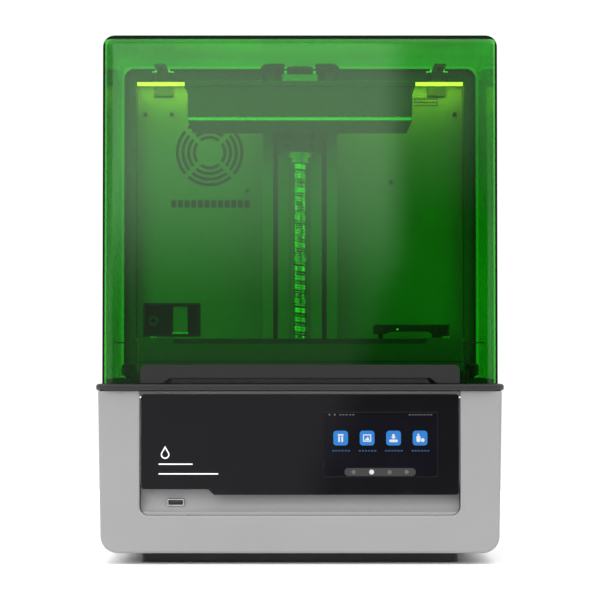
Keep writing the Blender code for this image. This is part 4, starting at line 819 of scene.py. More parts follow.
def ring_of(name: str, shape: Piece, centre: Colour, axis: Axis, count: int,
            finish: Surface) -> Piece:
    """Repeat a shape round an axis.

    Args:
        name: the result's name.
        shape: the shape, made with the axis through the world origin; it is used up.
        centre: where the axis goes.
        axis: its direction.
        count: shapes round the ring.
        finish: the material.

    Returns:
        One plain mesh.
    """
    net = NodeShape(name)
    part = net.sheet.add("GeometryNodeObjectInfo", {"Object": net.size("Shape", shape)}).outputs["Geometry"]
    many = net.size("Count", count)
    spots = net.sheet.add("GeometryNodeMeshLine",
                          {"Count": many, "Start Location": net.size("Centre", tuple(centre)),
                           "Offset": (0.0, 0.0, 0.0)})
    share = net.sheet.math("DIVIDE", net.size("Full turn", 2 * math.pi), many)
    index = net.sheet.add("GeometryNodeInputIndex").outputs[0]
    angle = net.sheet.math("MULTIPLY", index, share)
    turn = net.sheet.add("FunctionNodeAxisAngleToRotation", {"Axis": tuple(axis.along), "Angle": angle})
    placed = net.sheet.add("GeometryNodeInstanceOnPoints", {"Points": spots.outputs[0], "Instance": part,
                                                            "Rotation": turn.outputs[0]})
    made = net.make(placed.outputs[0], finish)
    bpy.data.objects.remove(shape, do_unlink=True)
    return made


def thread_of(name: str, radius: float, depth: float, pitch: float, low: float, high: float,
              centre: Pair, starts: int, finish: Surface) -> Piece:
    """One of a screw's ridges swept along a spiral.

    Args:
        name: the result's name.
        radius: the ridge's outer radius.
        depth: how far the ridge stands out.
        pitch: height of one turn.
        low: where the thread starts.
        high: where it ends.
        centre: the screw's x and y.
        starts: how many such ridges share one turn.
        finish: the material.

    Returns:
        One plain mesh.
    """
    net = NodeShape(name)
    height = net.size("Length", high - low)
    lead = net.size("Lead", pitch)
    middle = net.size("Middle radius", radius - depth / 2)
    turns = net.sheet.math("DIVIDE", height, lead)
    path = net.sheet.add("GeometryNodeCurveSpiral",
                         {"Resolution": 30, "Rotations": turns, "Start Radius": middle,
                          "End Radius": middle, "Height": height})
    ridge = net.sheet.add("GeometryNodeCurvePrimitiveQuadrilateral",
                          {"Bottom Width": net.size("Root width", pitch / starts * 0.62),
                           "Top Width": net.size("Crest width", pitch / starts * 0.3),
                           "Height": net.size("Ridge height", depth), "Offset": 0.0}, mode="TRAPEZOID")
    upright = net.sheet.add("GeometryNodeTransform", {"Geometry": ridge.outputs[0],
                                                      "Rotation": (0.0, 0.0, math.pi / 2)})
    swept = net.sheet.add("GeometryNodeCurveToMesh",
                          {"Curve": path.outputs[0], "Profile Curve": upright.outputs[0], "Fill Caps": True})
    spot = net.size("Foot", (*centre, low))
    placed = net.sheet.add("GeometryNodeTransform", {"Geometry": swept.outputs[0], "Translation": spot})
    made = net.make(placed.outputs[0], finish)
    bm = bmesh.new()
    bm.from_mesh(made.data)
    bmesh.ops.recalc_face_normals(bm, faces=bm.faces)
    bm.to_mesh(made.data)
    bm.free()
    return made


def scattered(name: str, shape: Piece, spots: Sequence[Sequence[float]],
              finish: Surface) -> Piece:
    """Repeat a shape at listed spots.

    Args:
        name: the result's name.
        shape: the shape at the world origin; it is used up.
        spots: where it goes.
        finish: the material.

    Returns:
        One plain mesh.
    """
    places = bpy.data.objects.new("spots", bpy.data.meshes.new("spots"))
    places.data.from_pydata([tuple(spot) for spot in spots], [], [])
    bpy.context.scene.collection.objects.link(places)
    net = NodeShape(name)
    part = net.sheet.add("GeometryNodeObjectInfo", {"Object": net.size("Shape", shape)}).outputs["Geometry"]
    points = net.sheet.add("GeometryNodeObjectInfo",
                           {"Object": net.size("Spots", places)}).outputs["Geometry"]
    placed = net.sheet.add("GeometryNodeInstanceOnPoints", {"Points": points, "Instance": part})
    made = net.make(placed.outputs[0], finish)
    for used in (shape, places):
        bpy.data.objects.remove(used, do_unlink=True)
    return made


def bolt(radius: float, height: float, facing: Vector) -> Piece:
    """A socket-head bolt's head at the world origin.

    Args:
        radius: the head's radius.
        height: the head's height.
        facing: the direction it stands along.

    Returns:
        The head.
    """
    profile = [(0.0, height * 0.45), (radius * 0.5, height * 0.45), (radius * 0.56, height),
               (radius * 0.85, height), (radius, height * 0.8), (radius, 0.0), (0.0, 0.0)]
    made = turned("bolt", profile, (0.0, 0.0, 0.0), Axis.Z, 12)
    made.data.transform(Vector((0.0, 0.0, 1.0)).rotation_difference(facing).to_matrix().to_4x4())
    return made


# ---- the frame's own nodes
@dataclass(frozen=True)
class Spans:
    """Low and high ends of a node along each axis."""

    x: Pair
    y: Pair
    z: Pair

    @classmethod
    def of(cls, node: str) -> "Spans":
        """Read a CAD node's box."""
        low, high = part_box(node)
        return cls(*((a, b) for a, b in zip(low, high)))

    @property
    def middle(self) -> tuple[float, float, float]:
        """The box's centre."""
        return (sum(self.x) / 2, sum(self.y) / 2, sum(self.z) / 2)


@dataclass
class Assembly:
    """A sub-assembly with the frame's nodes and the finishes at hand."""

    nodes: dict[str, Piece]
    finish: Finishes

    def dress(self, finish: Surface, *names: str) -> None:
        """Give CAD nodes a finish."""
        for name in names:
            for slot in self.nodes[name].material_slots:
                slot.material = finish
            LOG.info("dressed %s", name)

    def show(self, piece: Piece, finish: Surface, body: str, slot: Slot,
             *replaced: str) -> Piece:
        """Hand a piece to the frame and report it."""
        LOG.info("made %s", piece.name)
        return show(piece, finish, body, slot, *replaced)

    def fasten(self, name: str, size: Pair, facing: Colour, spots: Sequence[Sequence[float]],
               body: str = "base", finish: Surface | None = None) -> None:
        """Put a socket-head bolt's head at each spot.

        Args:
            name: the piece's name.
            size: a head's radius and height.
            facing: the direction that the heads point in.
            spots: where the heads stand.
            body: the CAD body they ride on.
            finish: their finish, or none for the bolts' own.
        """
        chosen = finish or self.finish.bolt
        heads = scattered(name, bolt(*size, Vector(facing)), spots, chosen)
        self.show(soften(heads, 0.0), chosen, body, Slot.STEEL)


# ---- lid
@dataclass
class Lid(Assembly):
    """Tinted flip-up cover with its handle strip, seals and hinge leaves."""

    wall: float = 3.5 * MM
    edge: float = 13 * MM
    edge_less: float = 2 * MM
    seal: float = 1.0 * MM
    bead_half: float = 160 * MM
    bead_rise: float = 41 * MM
    grip_half: float = 131 * MM
    grip_rise: float = 5.5 * MM
    grip_slope: float = 7 * MM
    corner: float = 5 * MM

    def form(self, name: str, inset: float, foot: float, back: float) -> Piece:
        """The lid's outer shape, or its inner one at an inset.

        Args:
            name: the shape's name.
            inset: how far it lies inside the outer shape.
            foot: its lowest height.
            back: where it ends at the back.

        Returns:
            The shape.
        """
        span = Spans.of("lid_shell")
        radius = self.edge - inset
        top = span.z[1] - inset
        outline = rounded(around(span.x, -inset), (span.y[0] + inset, back), (radius, radius, 0, 0), 14)
        made = prism(name, outline, foot, top, Axis.Z)
        return round_edges(made, radius - self.edge_less, 8,
                           lambda a, b: min(a.z, b.z) > top - 1e-5 and min(a.y, b.y) < back - 1e-5)

    def build(self) -> None:
        """Make the lid."""
        span = Spans.of("lid_shell")
        shell = self.form("lid_window", 0.0, span.z[0], span.y[1])
        carve(shell, [self.form("inside", self.wall, span.z[0] - 2 * MM, span.y[1] + 2 * MM)])
        tidy(shell)
        soften(shell, 0.0)
        self.show(shell, self.finish.lid, "lid", Slot.LID, "lid_shell")
        self.tint_rounds(shell)
        self.build_seals(span)
        self.build_handle()
        self.build_hinge()

    def tint_rounds(self, shell: Piece) -> None:
        """Give the top wall's faces a darker copy of the tint that mirrors little, as painted shade, and the
        forward outer rounds a near-black tint, painted shade for the dark look of a thick edge.

        Args:
            shell: the finished lid.
        """
        shell.data.materials.append(self.finish.lid_top_shaded)
        shell.data.materials.append(self.finish.lid_painted_dark_edge)
        for face in shell.data.polygons:
            normal = face.normal
            forward = -0.998 < normal.y < -0.02
            # Painted shade: rounds that face forward take the near-black edge acrylic.
            if forward and (0.62 < normal.z < 0.998 or 0.80 < abs(normal.x) < 0.998):
                face.material_index = 2
            # Painted shade: the other faces that point up or down take the darker top copy.
            elif abs(normal.z) > 0.3:
                face.material_index = 1

    def build_seals(self, span: Spans) -> None:
        """Dark light seals: one round the foot and one up the back edge.

        Args:
            span: the lid's box.
        """
        inner = around(span.x, -self.wall)
        front = span.y[0] + self.wall
        outline = rounded(inner, (front, span.y[1]), (self.edge - self.wall,) * 2 + (0, 0), 12)
        gap = rounded(around(inner, -self.seal), (front + self.seal, span.y[1] + MM),
                      (self.edge - self.wall - self.seal,) * 2 + (0, 0), 12)
        strip = prism("lid_foot_seal", outline, span.z[0] + 0.2 * MM, span.z[0] + 4.5 * MM, Axis.Z)
        carve(strip, [prism("gap", gap, span.z[0] - MM, span.z[0] + 9 * MM, Axis.Z)])
        self.show(soften(strip, 0.3 * MM, 2), self.finish.rubber, "lid", Slot.TRIM)
        high, bead = span.z[0] + self.bead_rise, 1.4 * MM
        bars = []
        for side in (-1, 1):
            edge, far = side * self.bead_half, side * (inner[1] - self.edge + self.wall)
            bars.append(block("bar", tuple(sorted((edge, far))),
                              (front - 0.1 * MM, front + 0.5 * MM), (high - bead, high)))
            bars.append(block("bar", tuple(sorted((edge, edge + side * bead))),
                              (front - 0.1 * MM, front + 0.5 * MM), (span.z[0] + 4 * MM, high)))
        self.show(soften(merged("lid_corner_beads", bars), 0.1 * MM, 1),
                  self.finish.rubber, "lid", Slot.TRIM)
        top = span.z[1] - self.wall
        around_back = rounded(inner, (span.z[0] + 5 * MM, top), (0, 0, 10 * MM, 10 * MM), 8)
        inside = rounded(around(inner, -2.2 * MM), (span.z[0] + 2 * MM, top - 2.2 * MM),
                         (0, 0, 8 * MM, 8 * MM), 8)
        rear = prism("lid_back_seal", around_back, span.y[1] - 5 * MM, span.y[1] - 0.4 * MM, Axis.Y)
        notches = [block("notch", around((x, x), 8 * MM), around(span.y, 9 * MM),
                         (top - 9 * MM, top + 5 * MM)) for x in (-150 * MM, 150 * MM)]
        carve(rear, [prism("gap", inside, span.y[1] - 9 * MM, span.y[1] + MM, Axis.Y), *notches])
        self.show(soften(rear, 0.3 * MM, 2), self.finish.rubber, "lid", Slot.TRIM)

    def build_handle(self) -> None:
        """The strip along the lid's lower front edge with its finger recess."""
        span = Spans.of("lid_handle")
        low, top = span.z
        half = span.x[1]
        grip, slope = self.grip_half, self.grip_slope / 2
        outline = [(-half, low), (-grip - slope, low), (-grip + slope, low + self.grip_rise),
                   (grip - slope, low + self.grip_rise), (grip + slope, low), (half, low)]
        outline += arc(half - self.corner, top - self.corner, self.corner, 0, 90, 8)
        outline += arc(-half + self.corner, top - self.corner, self.corner, 90, 180, 8)
        strip = prism("lid_handle_strip", outline, *span.y, Axis.Y)
        self.show(soften(strip, 0.6 * MM), self.finish.trim, "lid", Slot.TRIM, "lid_handle")
        back = [(-grip + slope, low + 0.4 * MM), (grip - slope, low + 0.4 * MM),
                (grip - slope - 3 * MM, low + self.grip_rise - 0.2 * MM),
                (-grip + slope + 3 * MM, low + self.grip_rise - 0.2 * MM)]
        recess = prism("grip_back", back, span.y[1] - 1.0 * MM, span.y[1] - 0.1 * MM, Axis.Y)
        self.show(soften(recess, 0.2 * MM, 2), self.finish.rubber, "lid", Slot.TRIM)

    def build_hinge(self) -> None:
        """Leaves, brackets and pins, and the bolts that hold them."""
        sides = ("left", "right")
        self.dress(self.finish.housing, *(f"hinge_leaf_{s}" for s in sides),
                   *(f"hinge_bracket_{s}" for s in sides))
        for side in sides:
            pin = Spans.of(f"hinge_pin_{side}")
            reach, radius = (pin.x[1] - pin.x[0]) / 2, (pin.z[1] - pin.z[0]) / 2
            profile = [(0.0, -reach), (radius * 0.8, -reach), (radius, -reach + 0.5 * MM),
                       (radius, reach - 0.5 * MM), (radius * 0.8, reach), (0.0, reach)]
            made = turned(f"hinge_pin_turned_{side}", profile, pin.middle, Axis.X)
            self.show(soften(made, 0.0), self.finish.bolt, "base", Slot.STEEL, f"hinge_pin_{side}")
        leaf = Spans.of("hinge_leaf_left")
        spots = [(s * abs(sum(leaf.x) / 2), y, leaf.z[1] - 3.2 * MM) for s in (-1, 1)
                 for y in (leaf.y[0] + 8 * MM, leaf.y[0] + 26 * MM)]
        self.fasten("hinge_leaf_bolts", (2.6 * MM, 1.6 * MM), (0, 0, -1), spots, "lid")


# ---- base
@dataclass
class BaseHousing(Assembly):
    """Grey shell, plinth, rim, deck and the rear cover."""

    corner: float = 17 * MM
    wall: float = 2.5 * MM
    notch_half: float = 157 * MM
    notch_floor: float = 48 * MM
    notch_corner: float = 9 * MM
    rim_corner: float = 20 * MM
    fan_x: float = 100 * MM
    fan_z: float = 90 * MM

    def outline(self, inset: float, top: float) -> Points:
        """The shell seen from the front.

        Args:
            inset: how far the outline lies inside the shell's own.
            top: its upper end.

        Returns:
            The outline.
        """
        span = Spans.of("base_shell")
        head = span.x[1] - inset
        foot = head - 2.5 * MM
        low = span.z[0] + inset
        radius = self.corner - inset
        points = arc(-foot + radius, low + radius, radius, 180, 270, 14)
        return points + arc(foot - radius, low + radius, radius, 270, 360, 14) + [(head, top), (-head, top)]

    def build(self) -> None:
        """Make the base."""
        self.build_shell()
        self.build_rim()
        self.build_plinth()
        self.build_back()

    def build_shell(self) -> None:
        """The grey U-shaped shell."""
        span = Spans.of("base_shell")
        top = span.z[1]
        shell = prism("base_moulding", self.outline(0.0, top), *span.y, Axis.Y)
        round_edges(shell, 3 * MM, 5, lambda a, b: abs(a.y - b.y) < 1e-5 and min(a.z, b.z) < top - 1e-5)
        inside = prism("inside", self.outline(self.wall, top + MM), *around(span.y, -self.wall), Axis.Y)
        low = self.notch_floor
        notch = prism("notch", rounded(both(self.notch_half), (low, top + MM),
                                       (self.notch_corner,) * 2 + (0, 0), 12),
                      span.y[0] - MM, span.y[0] + 2 * self.wall, Axis.Y)
        well = block("well", both(152 * MM), both(135 * MM), (span.z[0] - MM, span.z[0] + 2 * self.wall))
        cover = Spans.of("rear_cover")
        opening = block("opening", around(cover.x, -6 * MM), (span.y[1] - 2 * self.wall, span.y[1] + MM),
                        around(cover.z, -6 * MM))
        seat = block("seat", around(cover.x, 0.3 * MM), (cover.y[0] - 0.3 * MM, span.y[1] + MM),
                     around(cover.z, 0.3 * MM))
        carve(shell, [inside, notch, well, opening, seat])
        front = span.y[0] + 1e-5
        round_edges(tidy(shell), 1.6 * MM, 4,
                    lambda a, b: max(a.y, b.y) < front and max(abs(a.x), abs(b.x)) < self.notch_half + 1e-5
                    and min(a.z, b.z) > low - 1e-5)
        self.show(soften(shell, 0.0), self.finish.grey, "base", Slot.GREY, "base_shell")

    def build_rim(self) -> None:
        """The black rim round the deck, and the deck inside it."""
        span = Spans.of("rim_frame")
        deck = Spans.of("deck_plate")
        rim = prism("rim_band", rounded(span.x, span.y, self.rim_corner, 14), *span.z, Axis.Z)
        round_edges(rim, 2.6 * MM, 5, lambda a, b: abs(a.z - b.z) < 1e-5)
        hole = prism("hole", rounded(around(deck.x, 0.3 * MM), around(deck.y, 0.3 * MM), 8 * MM, 8),
                     span.z[0] - MM, span.z[1] + MM, Axis.Z)
        carve(rim, [hole])
        self.show(soften(tidy(rim), 0.0), self.finish.black, "base", Slot.BLACK, "rim_frame")
        self.dress(self.finish.black, "deck_plate")
        screws = [(s * (deck.x[1] - 9 * MM), y, deck.z[1]) for s in (-1, 1)
                  for y in (-150 * MM, -20 * MM, 60 * MM)]
        self.fasten("deck_bolts", (3.2 * MM, 1.4 * MM), (0, 0, 1), screws)

    def build_plinth(self) -> None:
        """The plinth with its pan, rubber feet and underside screws."""
        self.dress(self.finish.black, "foot_plinth")
        profile = [(0.0, 1.5 * MM), (11 * MM, 1.5 * MM), (11.5 * MM, 0.9 * MM), (11.5 * MM, 0.3 * MM),
                   (11 * MM, 0.0), (0.0, 0.0)]
        spots = [(x, y, 6.4 * MM) for x in both(120 * MM) for y in both(105 * MM)]
        feet = scattered("rubber_pads", turned("pad", profile, (0, 0, 0), Axis.Z, 32),
                         spots, self.finish.rubber)
        self.show(soften(feet, 0.0), self.finish.rubber, "base", Slot.TRIM)
        spots = [(x, y, 7.9 * MM) for x in both(140 * MM) for y in (-120 * MM, 0.0, 120 * MM)]
        self.fasten("pan_bolts", (3.0 * MM, 1.6 * MM), (0, 0, -1), spots)

    def build_back(self) -> None:
        """Rear cover with its grille, the inlet and the fan's guard."""
        self.dress(self.finish.trim, "rear_cover", "power_inlet", "power_rocker")
        cover = Spans.of("rear_cover")
        spots = [(x, cover.y[1], z) for x in around(cover.x, -5 * MM) for z in around(cover.z, -5 * MM)]
        spots += [(0.0, cover.y[1], z) for z in around(cover.z, -5 * MM)]
        self.fasten("cover_bolts", (2.8 * MM, 1.5 * MM), (0, 1, 0), spots)
        rings = []
        for number in range(5):
            radius = (7 + 7 * number) * MM
            wire = [(radius + 0.7 * MM * math.cos(t), 0.7 * MM * math.sin(t))
                    for t in (2 * math.pi * i / 8 for i in range(8))]
            rings.append(turned(f"ring_{number}", wire, (self.fan_x, cover.y[0] - 1.2 * MM, self.fan_z),
                                Axis.Y, 40))
        spokes = [prism("spoke", rounded(both(35 * MM), both(0.7 * MM), 0.6 * MM, 3),
                        -0.7 * MM, 0.7 * MM, Axis.Y) for _ in range(2)]
        for spoke, turn in zip(spokes, (45, 135)):
            spot = Matrix.Translation((self.fan_x, cover.y[0] - 2.2 * MM, self.fan_z))
            spoke.data.transform(spot @ Matrix.Rotation(math.radians(turn), 4, "Y"))
        guard = merged("fan_guard", rings + spokes)
        self.show(soften(guard, 0.0), self.finish.steel, "base", Slot.STEEL)


# ---- control panel
@dataclass
class ControlPanel(Assembly):
    """Scooped grey panel, black cover glass and the touch display with its tiles."""

    scoop: float = 9 * MM
    thick: float = 6 * MM
    step: float = 5.5 * MM
    step_x: float = -87 * MM
    tile: float = 14.4 * MM
    tile_pitch: float = 25.9 * MM
    tile_z: float = 123.6 * MM
    mark_depth: float = 0.12 * MM
    tiles_x: tuple[float, ...] = (39.8 * MM, 65.7 * MM, 91.5 * MM, 117.5 * MM)

    def build(self) -> None:
        """Make the panel."""
        self.build_panel()
        self.build_glass()
        self.build_display()
        self.build_port()

    def build_panel(self) -> None:
        """The grey panel whose strip under the glass is scooped."""
        span = Spans.of("fascia_panel")
        glass = Spans.of("front_glass")
        front = glass.y[1] + 0.3 * MM
        back = front + self.scoop
        low, top = span.z
        upper = glass.z[0] + self.step + 4 * MM
        lip = span.y[0]
        sweep = [(back - (back - lip) * (1 - math.cos(t)), upper - (upper - low - 3 * MM) * math.sin(t))
                 for t in (math.pi / 2 * i / 16 for i in range(17))]
        profile = [(front, top), (front, upper), *sweep, (lip, low), (back + self.thick, low),
                   (back + self.thick, top)]
        panel = prism("fascia_moulding", profile, *span.x, Axis.X)
        cut_corner = 9 * MM
        trims = []
        for side in (-1, 1):
            edge = side * span.x[1]
            square = block("square", tuple(sorted((edge + side * MM, edge - side * cut_corner))),
                           around(span.y, 3 * MM), (low - MM, low + cut_corner))
            rest = prism("rest", circle(edge - side * cut_corner, low + cut_corner, cut_corner, 48),
                         span.y[0] - 6 * MM, span.y[1] + 6 * MM, Axis.Y)
            trims.append(carve(square, [rest]))
        display = Spans.of("touch_display")
        hole = block("hole", around(display.x, 0.3 * MM), around(span.y, 3 * MM),
                     around(display.z, 0.3 * MM))
        usb = Spans.of("usb_port")
        port = prism("port", rounded(around(usb.x, 0.3 * MM), around(usb.z, 0.3 * MM), 0.5 * MM, 3),
                     span.y[0] - 3 * MM, span.y[1] + 3 * MM, Axis.Y)
        carve(panel, [*trims, hole, port])
        self.show(soften(tidy(panel), 0.35 * MM, 3, 28), self.finish.grey, "base", Slot.GREY, "fascia_panel")

    def build_glass(self) -> None:
        """The black cover glass with its raised left foot, and two generic printed marks on it."""
        span = Spans.of("front_glass")
        left, right = span.x
        low, top = span.z
        corner = 3 * MM
        slope = self.step / 2
        points = arc(left + corner, low + self.step + corner, corner, 180, 270, 6)
        points += [(self.step_x - slope, low + self.step), (self.step_x + slope, low)]
        points += arc(right - corner, low + corner, corner, 270, 360, 6)
        points += arc(right - corner, top - corner, corner, 0, 90, 6)
        points += arc(left + corner, top - corner, corner, 90, 180, 6)
        glass = prism("cover_glass", points, *span.y, Axis.Y)
        display = Spans.of("touch_display")
        hole = block("hole", around(display.x, 0.15 * MM), around(span.y, 3 * MM),
                     around(display.z, 0.15 * MM))
        carve(glass, [hole])
        self.show(soften(tidy(glass), 0.35 * MM), self.finish.glass, "base", Slot.GLASS, "front_glass")
        marks = [self.mark((-138.5 * MM, -105 * MM), (97.5 * MM, 98.7 * MM)),
                 self.mark((-138.5 * MM, -80 * MM), (88.0 * MM, 89.2 * MM)),
                 self.drop(-132 * MM, 107.5 * MM, 4.2 * MM)]
        self.show(merged("printed_marks", marks), self.finish.mark, "base", Slot.GLASS)
        # Painted highlights: two pale discs at the top of the notch edges stand in for glints on the rounded
        # edges.
        glint_dots = [self.disc(x, 163.6 * MM, 0.9 * MM) for x in (-156.9 * MM + 0.6 * MM, 156.4 * MM)]
        self.show(merged("edge_dots", glint_dots), self.finish.mark, "base", Slot.GREY)

    def face(self, lift: float = 0.0) -> Pair:
        """Depth of a printed mark on the glass."""
        front = Spans.of("front_glass").y[0] - lift
        return (front - self.mark_depth, front + 0.05 * MM)

    def mark(self, x: Pair, z: Pair, lift: float = 0.0) -> Piece:
        """A flat bar with round ends on the glass."""
        radius = min(x[1] - x[0], z[1] - z[0]) * 0.45
        return prism("mark", rounded(x, z, radius, 4), *self.face(lift), Axis.Y)

    def disc(self, x: float, z: float, radius: float, lift: float = 0.0) -> Piece:
        """A flat disc on the glass."""
        return prism("disc", circle(x, z, radius, 24), *self.face(lift), Axis.Y)

    def drop(self, x: float, z: float, size: float) -> Piece:
        """The outline of a resin drop.

        Args:
            x: its middle across.
            z: the middle of its round part.
            size: the radius of its round part.

        Returns:
            The printed mark.
        """
        def shape(scale: float) -> Points:
            """A drop's outline."""
            round_part = arc(x, z, size * scale, -215, 35, 20)
            return round_part + [(x, z + size * scale * 2.0)]
        outer = prism("drop", shape(1.0), *self.face(), Axis.Y)
        y = self.face()
        return carve(outer, [prism("drop_gap", shape(0.72), y[0] - MM, y[1] + MM, Axis.Y)])

    def build_display(self) -> None:
        """The display: dark glass, blue tiles with pictograms, label dashes, status row and dock."""
        span = Spans.of("touch_display")
        screen = prism("display_pane", rounded(span.x, span.z, 0.6 * MM, 4), *span.y, Axis.Y)
        self.show(soften(screen, 0.05 * MM, 1), self.finish.screen, "base", Slot.SCREEN, "touch_display")
        lift = Spans.of("front_glass").y[0] - span.y[0]
        half = self.tile / 2
        first = prism("tile", rounded(about(self.tiles_x[0], half), about(self.tile_z, half),
                                      3 * MM, 6), *self.face(lift), Axis.Y)
        tiles = rows_of("display_tiles", first, len(self.tiles_x),
                        (self.tile_pitch, 0.0, 0.0), self.finish.blue)
        self.show(tiles, self.finish.blue, "base", Slot.SCREEN)
        dash = self.mark((-1.1 * MM, 1.1 * MM), (-0.75 * MM, 0.75 * MM), lift)
        spots = [(x + offset * MM, 0.0, 111.2 * MM) for x in self.tiles_x
                 for offset in (-7.2, -4.2, -1.2, 2.0, 5.0, 8.0)]
        dashes = scattered("display_labels", dash, spots, self.finish.label)
        self.show(dashes, self.finish.label, "base", Slot.SCREEN)
        self.build_pictograms(lift)
        self.build_status(lift)

    def build_pictograms(self, lift: float) -> None:
        """White signs on the tiles: a vat, a picture, a lifted plate and a bottle.

        Args:
            lift: how far the display's face lies behind the glass's, negative.
        """
        z = self.tile_z
        a, b, c, d = self.tiles_x
        up = lift + 0.15 * MM
        bars = ((a, -3.0, 3.0, 2.3, 3.9), (a, -2.4, -0.6, -4.0, 1.8), (a, 0.6, 2.4, -4.0, 1.8),
                (b, -4.0, 4.0, -3.6, -2.6), (b, -4.0, 4.0, 2.6, 3.6), (b, -4.0, -3.0, -3.4, 3.4),
                (b, 3.0, 4.0, -3.4, 3.4), (c, -4.2, 4.2, -4.0, -1.4), (c, -1.2, 1.2, 0.2, 4.0),
                (d, -3.6, 0.4, -4.0, 2.6), (d, -2.6, -0.6, 2.9, 4.3))
        marks = [self.mark((x + left * MM, x + right * MM), (z + low * MM, z + top * MM), up)
                 for x, left, right, low, top in bars]
        peaks = ((b, ((-2.6, -2.2), (2.6, -2.2), (0.8, 1.4))), (c, ((-2.6, 1.2), (0.0, -1.0), (2.6, 1.2))))
        marks += [prism("peak", [(x + u * MM, z + v * MM) for u, v in peak], *self.face(up), Axis.Y)
                  for x, peak in peaks]
        marks.append(self.disc(d + 2.6 * MM, z - 2.0 * MM, 1.9 * MM, up))
        self.show(merged("display_pictograms", marks), self.finish.white, "base", Slot.SCREEN)

    def build_status(self, lift: float) -> None:
        """Status signs along the top and the dock bar along the foot.

        Args:
            lift: how far the display's face lies behind the glass's, negative.
        """
        z = 146.4 * MM
        row = [self.mark((28.2 * MM, 29.6 * MM), (z - 0.9 * MM, z + 0.9 * MM), lift),
               self.disc(34.0 * MM, z, 0.9 * MM, lift)]
        row += [self.mark(about(x * MM, 0.9 * MM), (z - 0.55 * MM, z + 0.55 * MM), lift)
                for x in (39.6, 42.6, 45.6, 49.2, 52.2, 107.5, 110.5, 113.5, 116.5,
                          119.5, 122.5, 125.5, 128.5)]
        self.show(merged("display_status", row), self.finish.dim, "base", Slot.SCREEN)
        base = 90.4 * MM
        x = (43.6 * MM, 113.2 * MM)
        dock = self.mark(x, (base - 3.9 * MM, base + 3.9 * MM), lift)
        self.show(dock, self.finish.chip, "base", Slot.SCREEN)
        dock.name = "display_dock"
        signs = [self.disc(cx * MM, base, 2.0 * MM, lift + 0.15 * MM) for cx in (52.4, 87.7, 104.4)]
        self.show(merged("dock_signs", signs), self.finish.dim, "base", Slot.SCREEN)
        home = self.disc(70.1 * MM, base, 2.4 * MM, lift + 0.15 * MM)
        home.name = "dock_home"
        self.show(home, self.finish.white, "base", Slot.SCREEN)

    def build_port(self) -> None:
        """The memory-stick socket: a folded steel frame and its tongue."""
        span = Spans.of("usb_port")
        frame = prism("stick_socket", rounded(span.x, span.z, 0.6 * MM, 4), *span.y, Axis.Y)
        room = prism("room", rounded(around(span.x, -0.7 * MM), around(span.z, -0.7 * MM), 0.3 * MM, 3),
                     span.y[0] - MM, span.y[1] - 2 * MM, Axis.Y)
        carve(frame, [room])
        self.show(soften(frame, 0.1 * MM, 2), self.finish.steel, "base", Slot.STEEL, "usb_port")
        liner = block("stick_liner", around(span.x, -0.8 * MM), (span.y[0] + 1.2 * MM, span.y[1] - 1.9 * MM),
                      around(span.z, -0.8 * MM))
        self.show(soften(liner, 0.1 * MM, 1), self.finish.rubber, "base", Slot.TRIM)
        tongue = block("stick_tongue", around(span.x, -2 * MM), (span.y[0] + 0.8 * MM, span.y[1] - 1.6 * MM),
                       (span.middle[2] - 0.2 * MM, span.middle[2] + 1.6 * MM))
        self.show(soften(tongue, 0.2 * MM, 2), self.finish.chip, "base", Slot.TRIM)


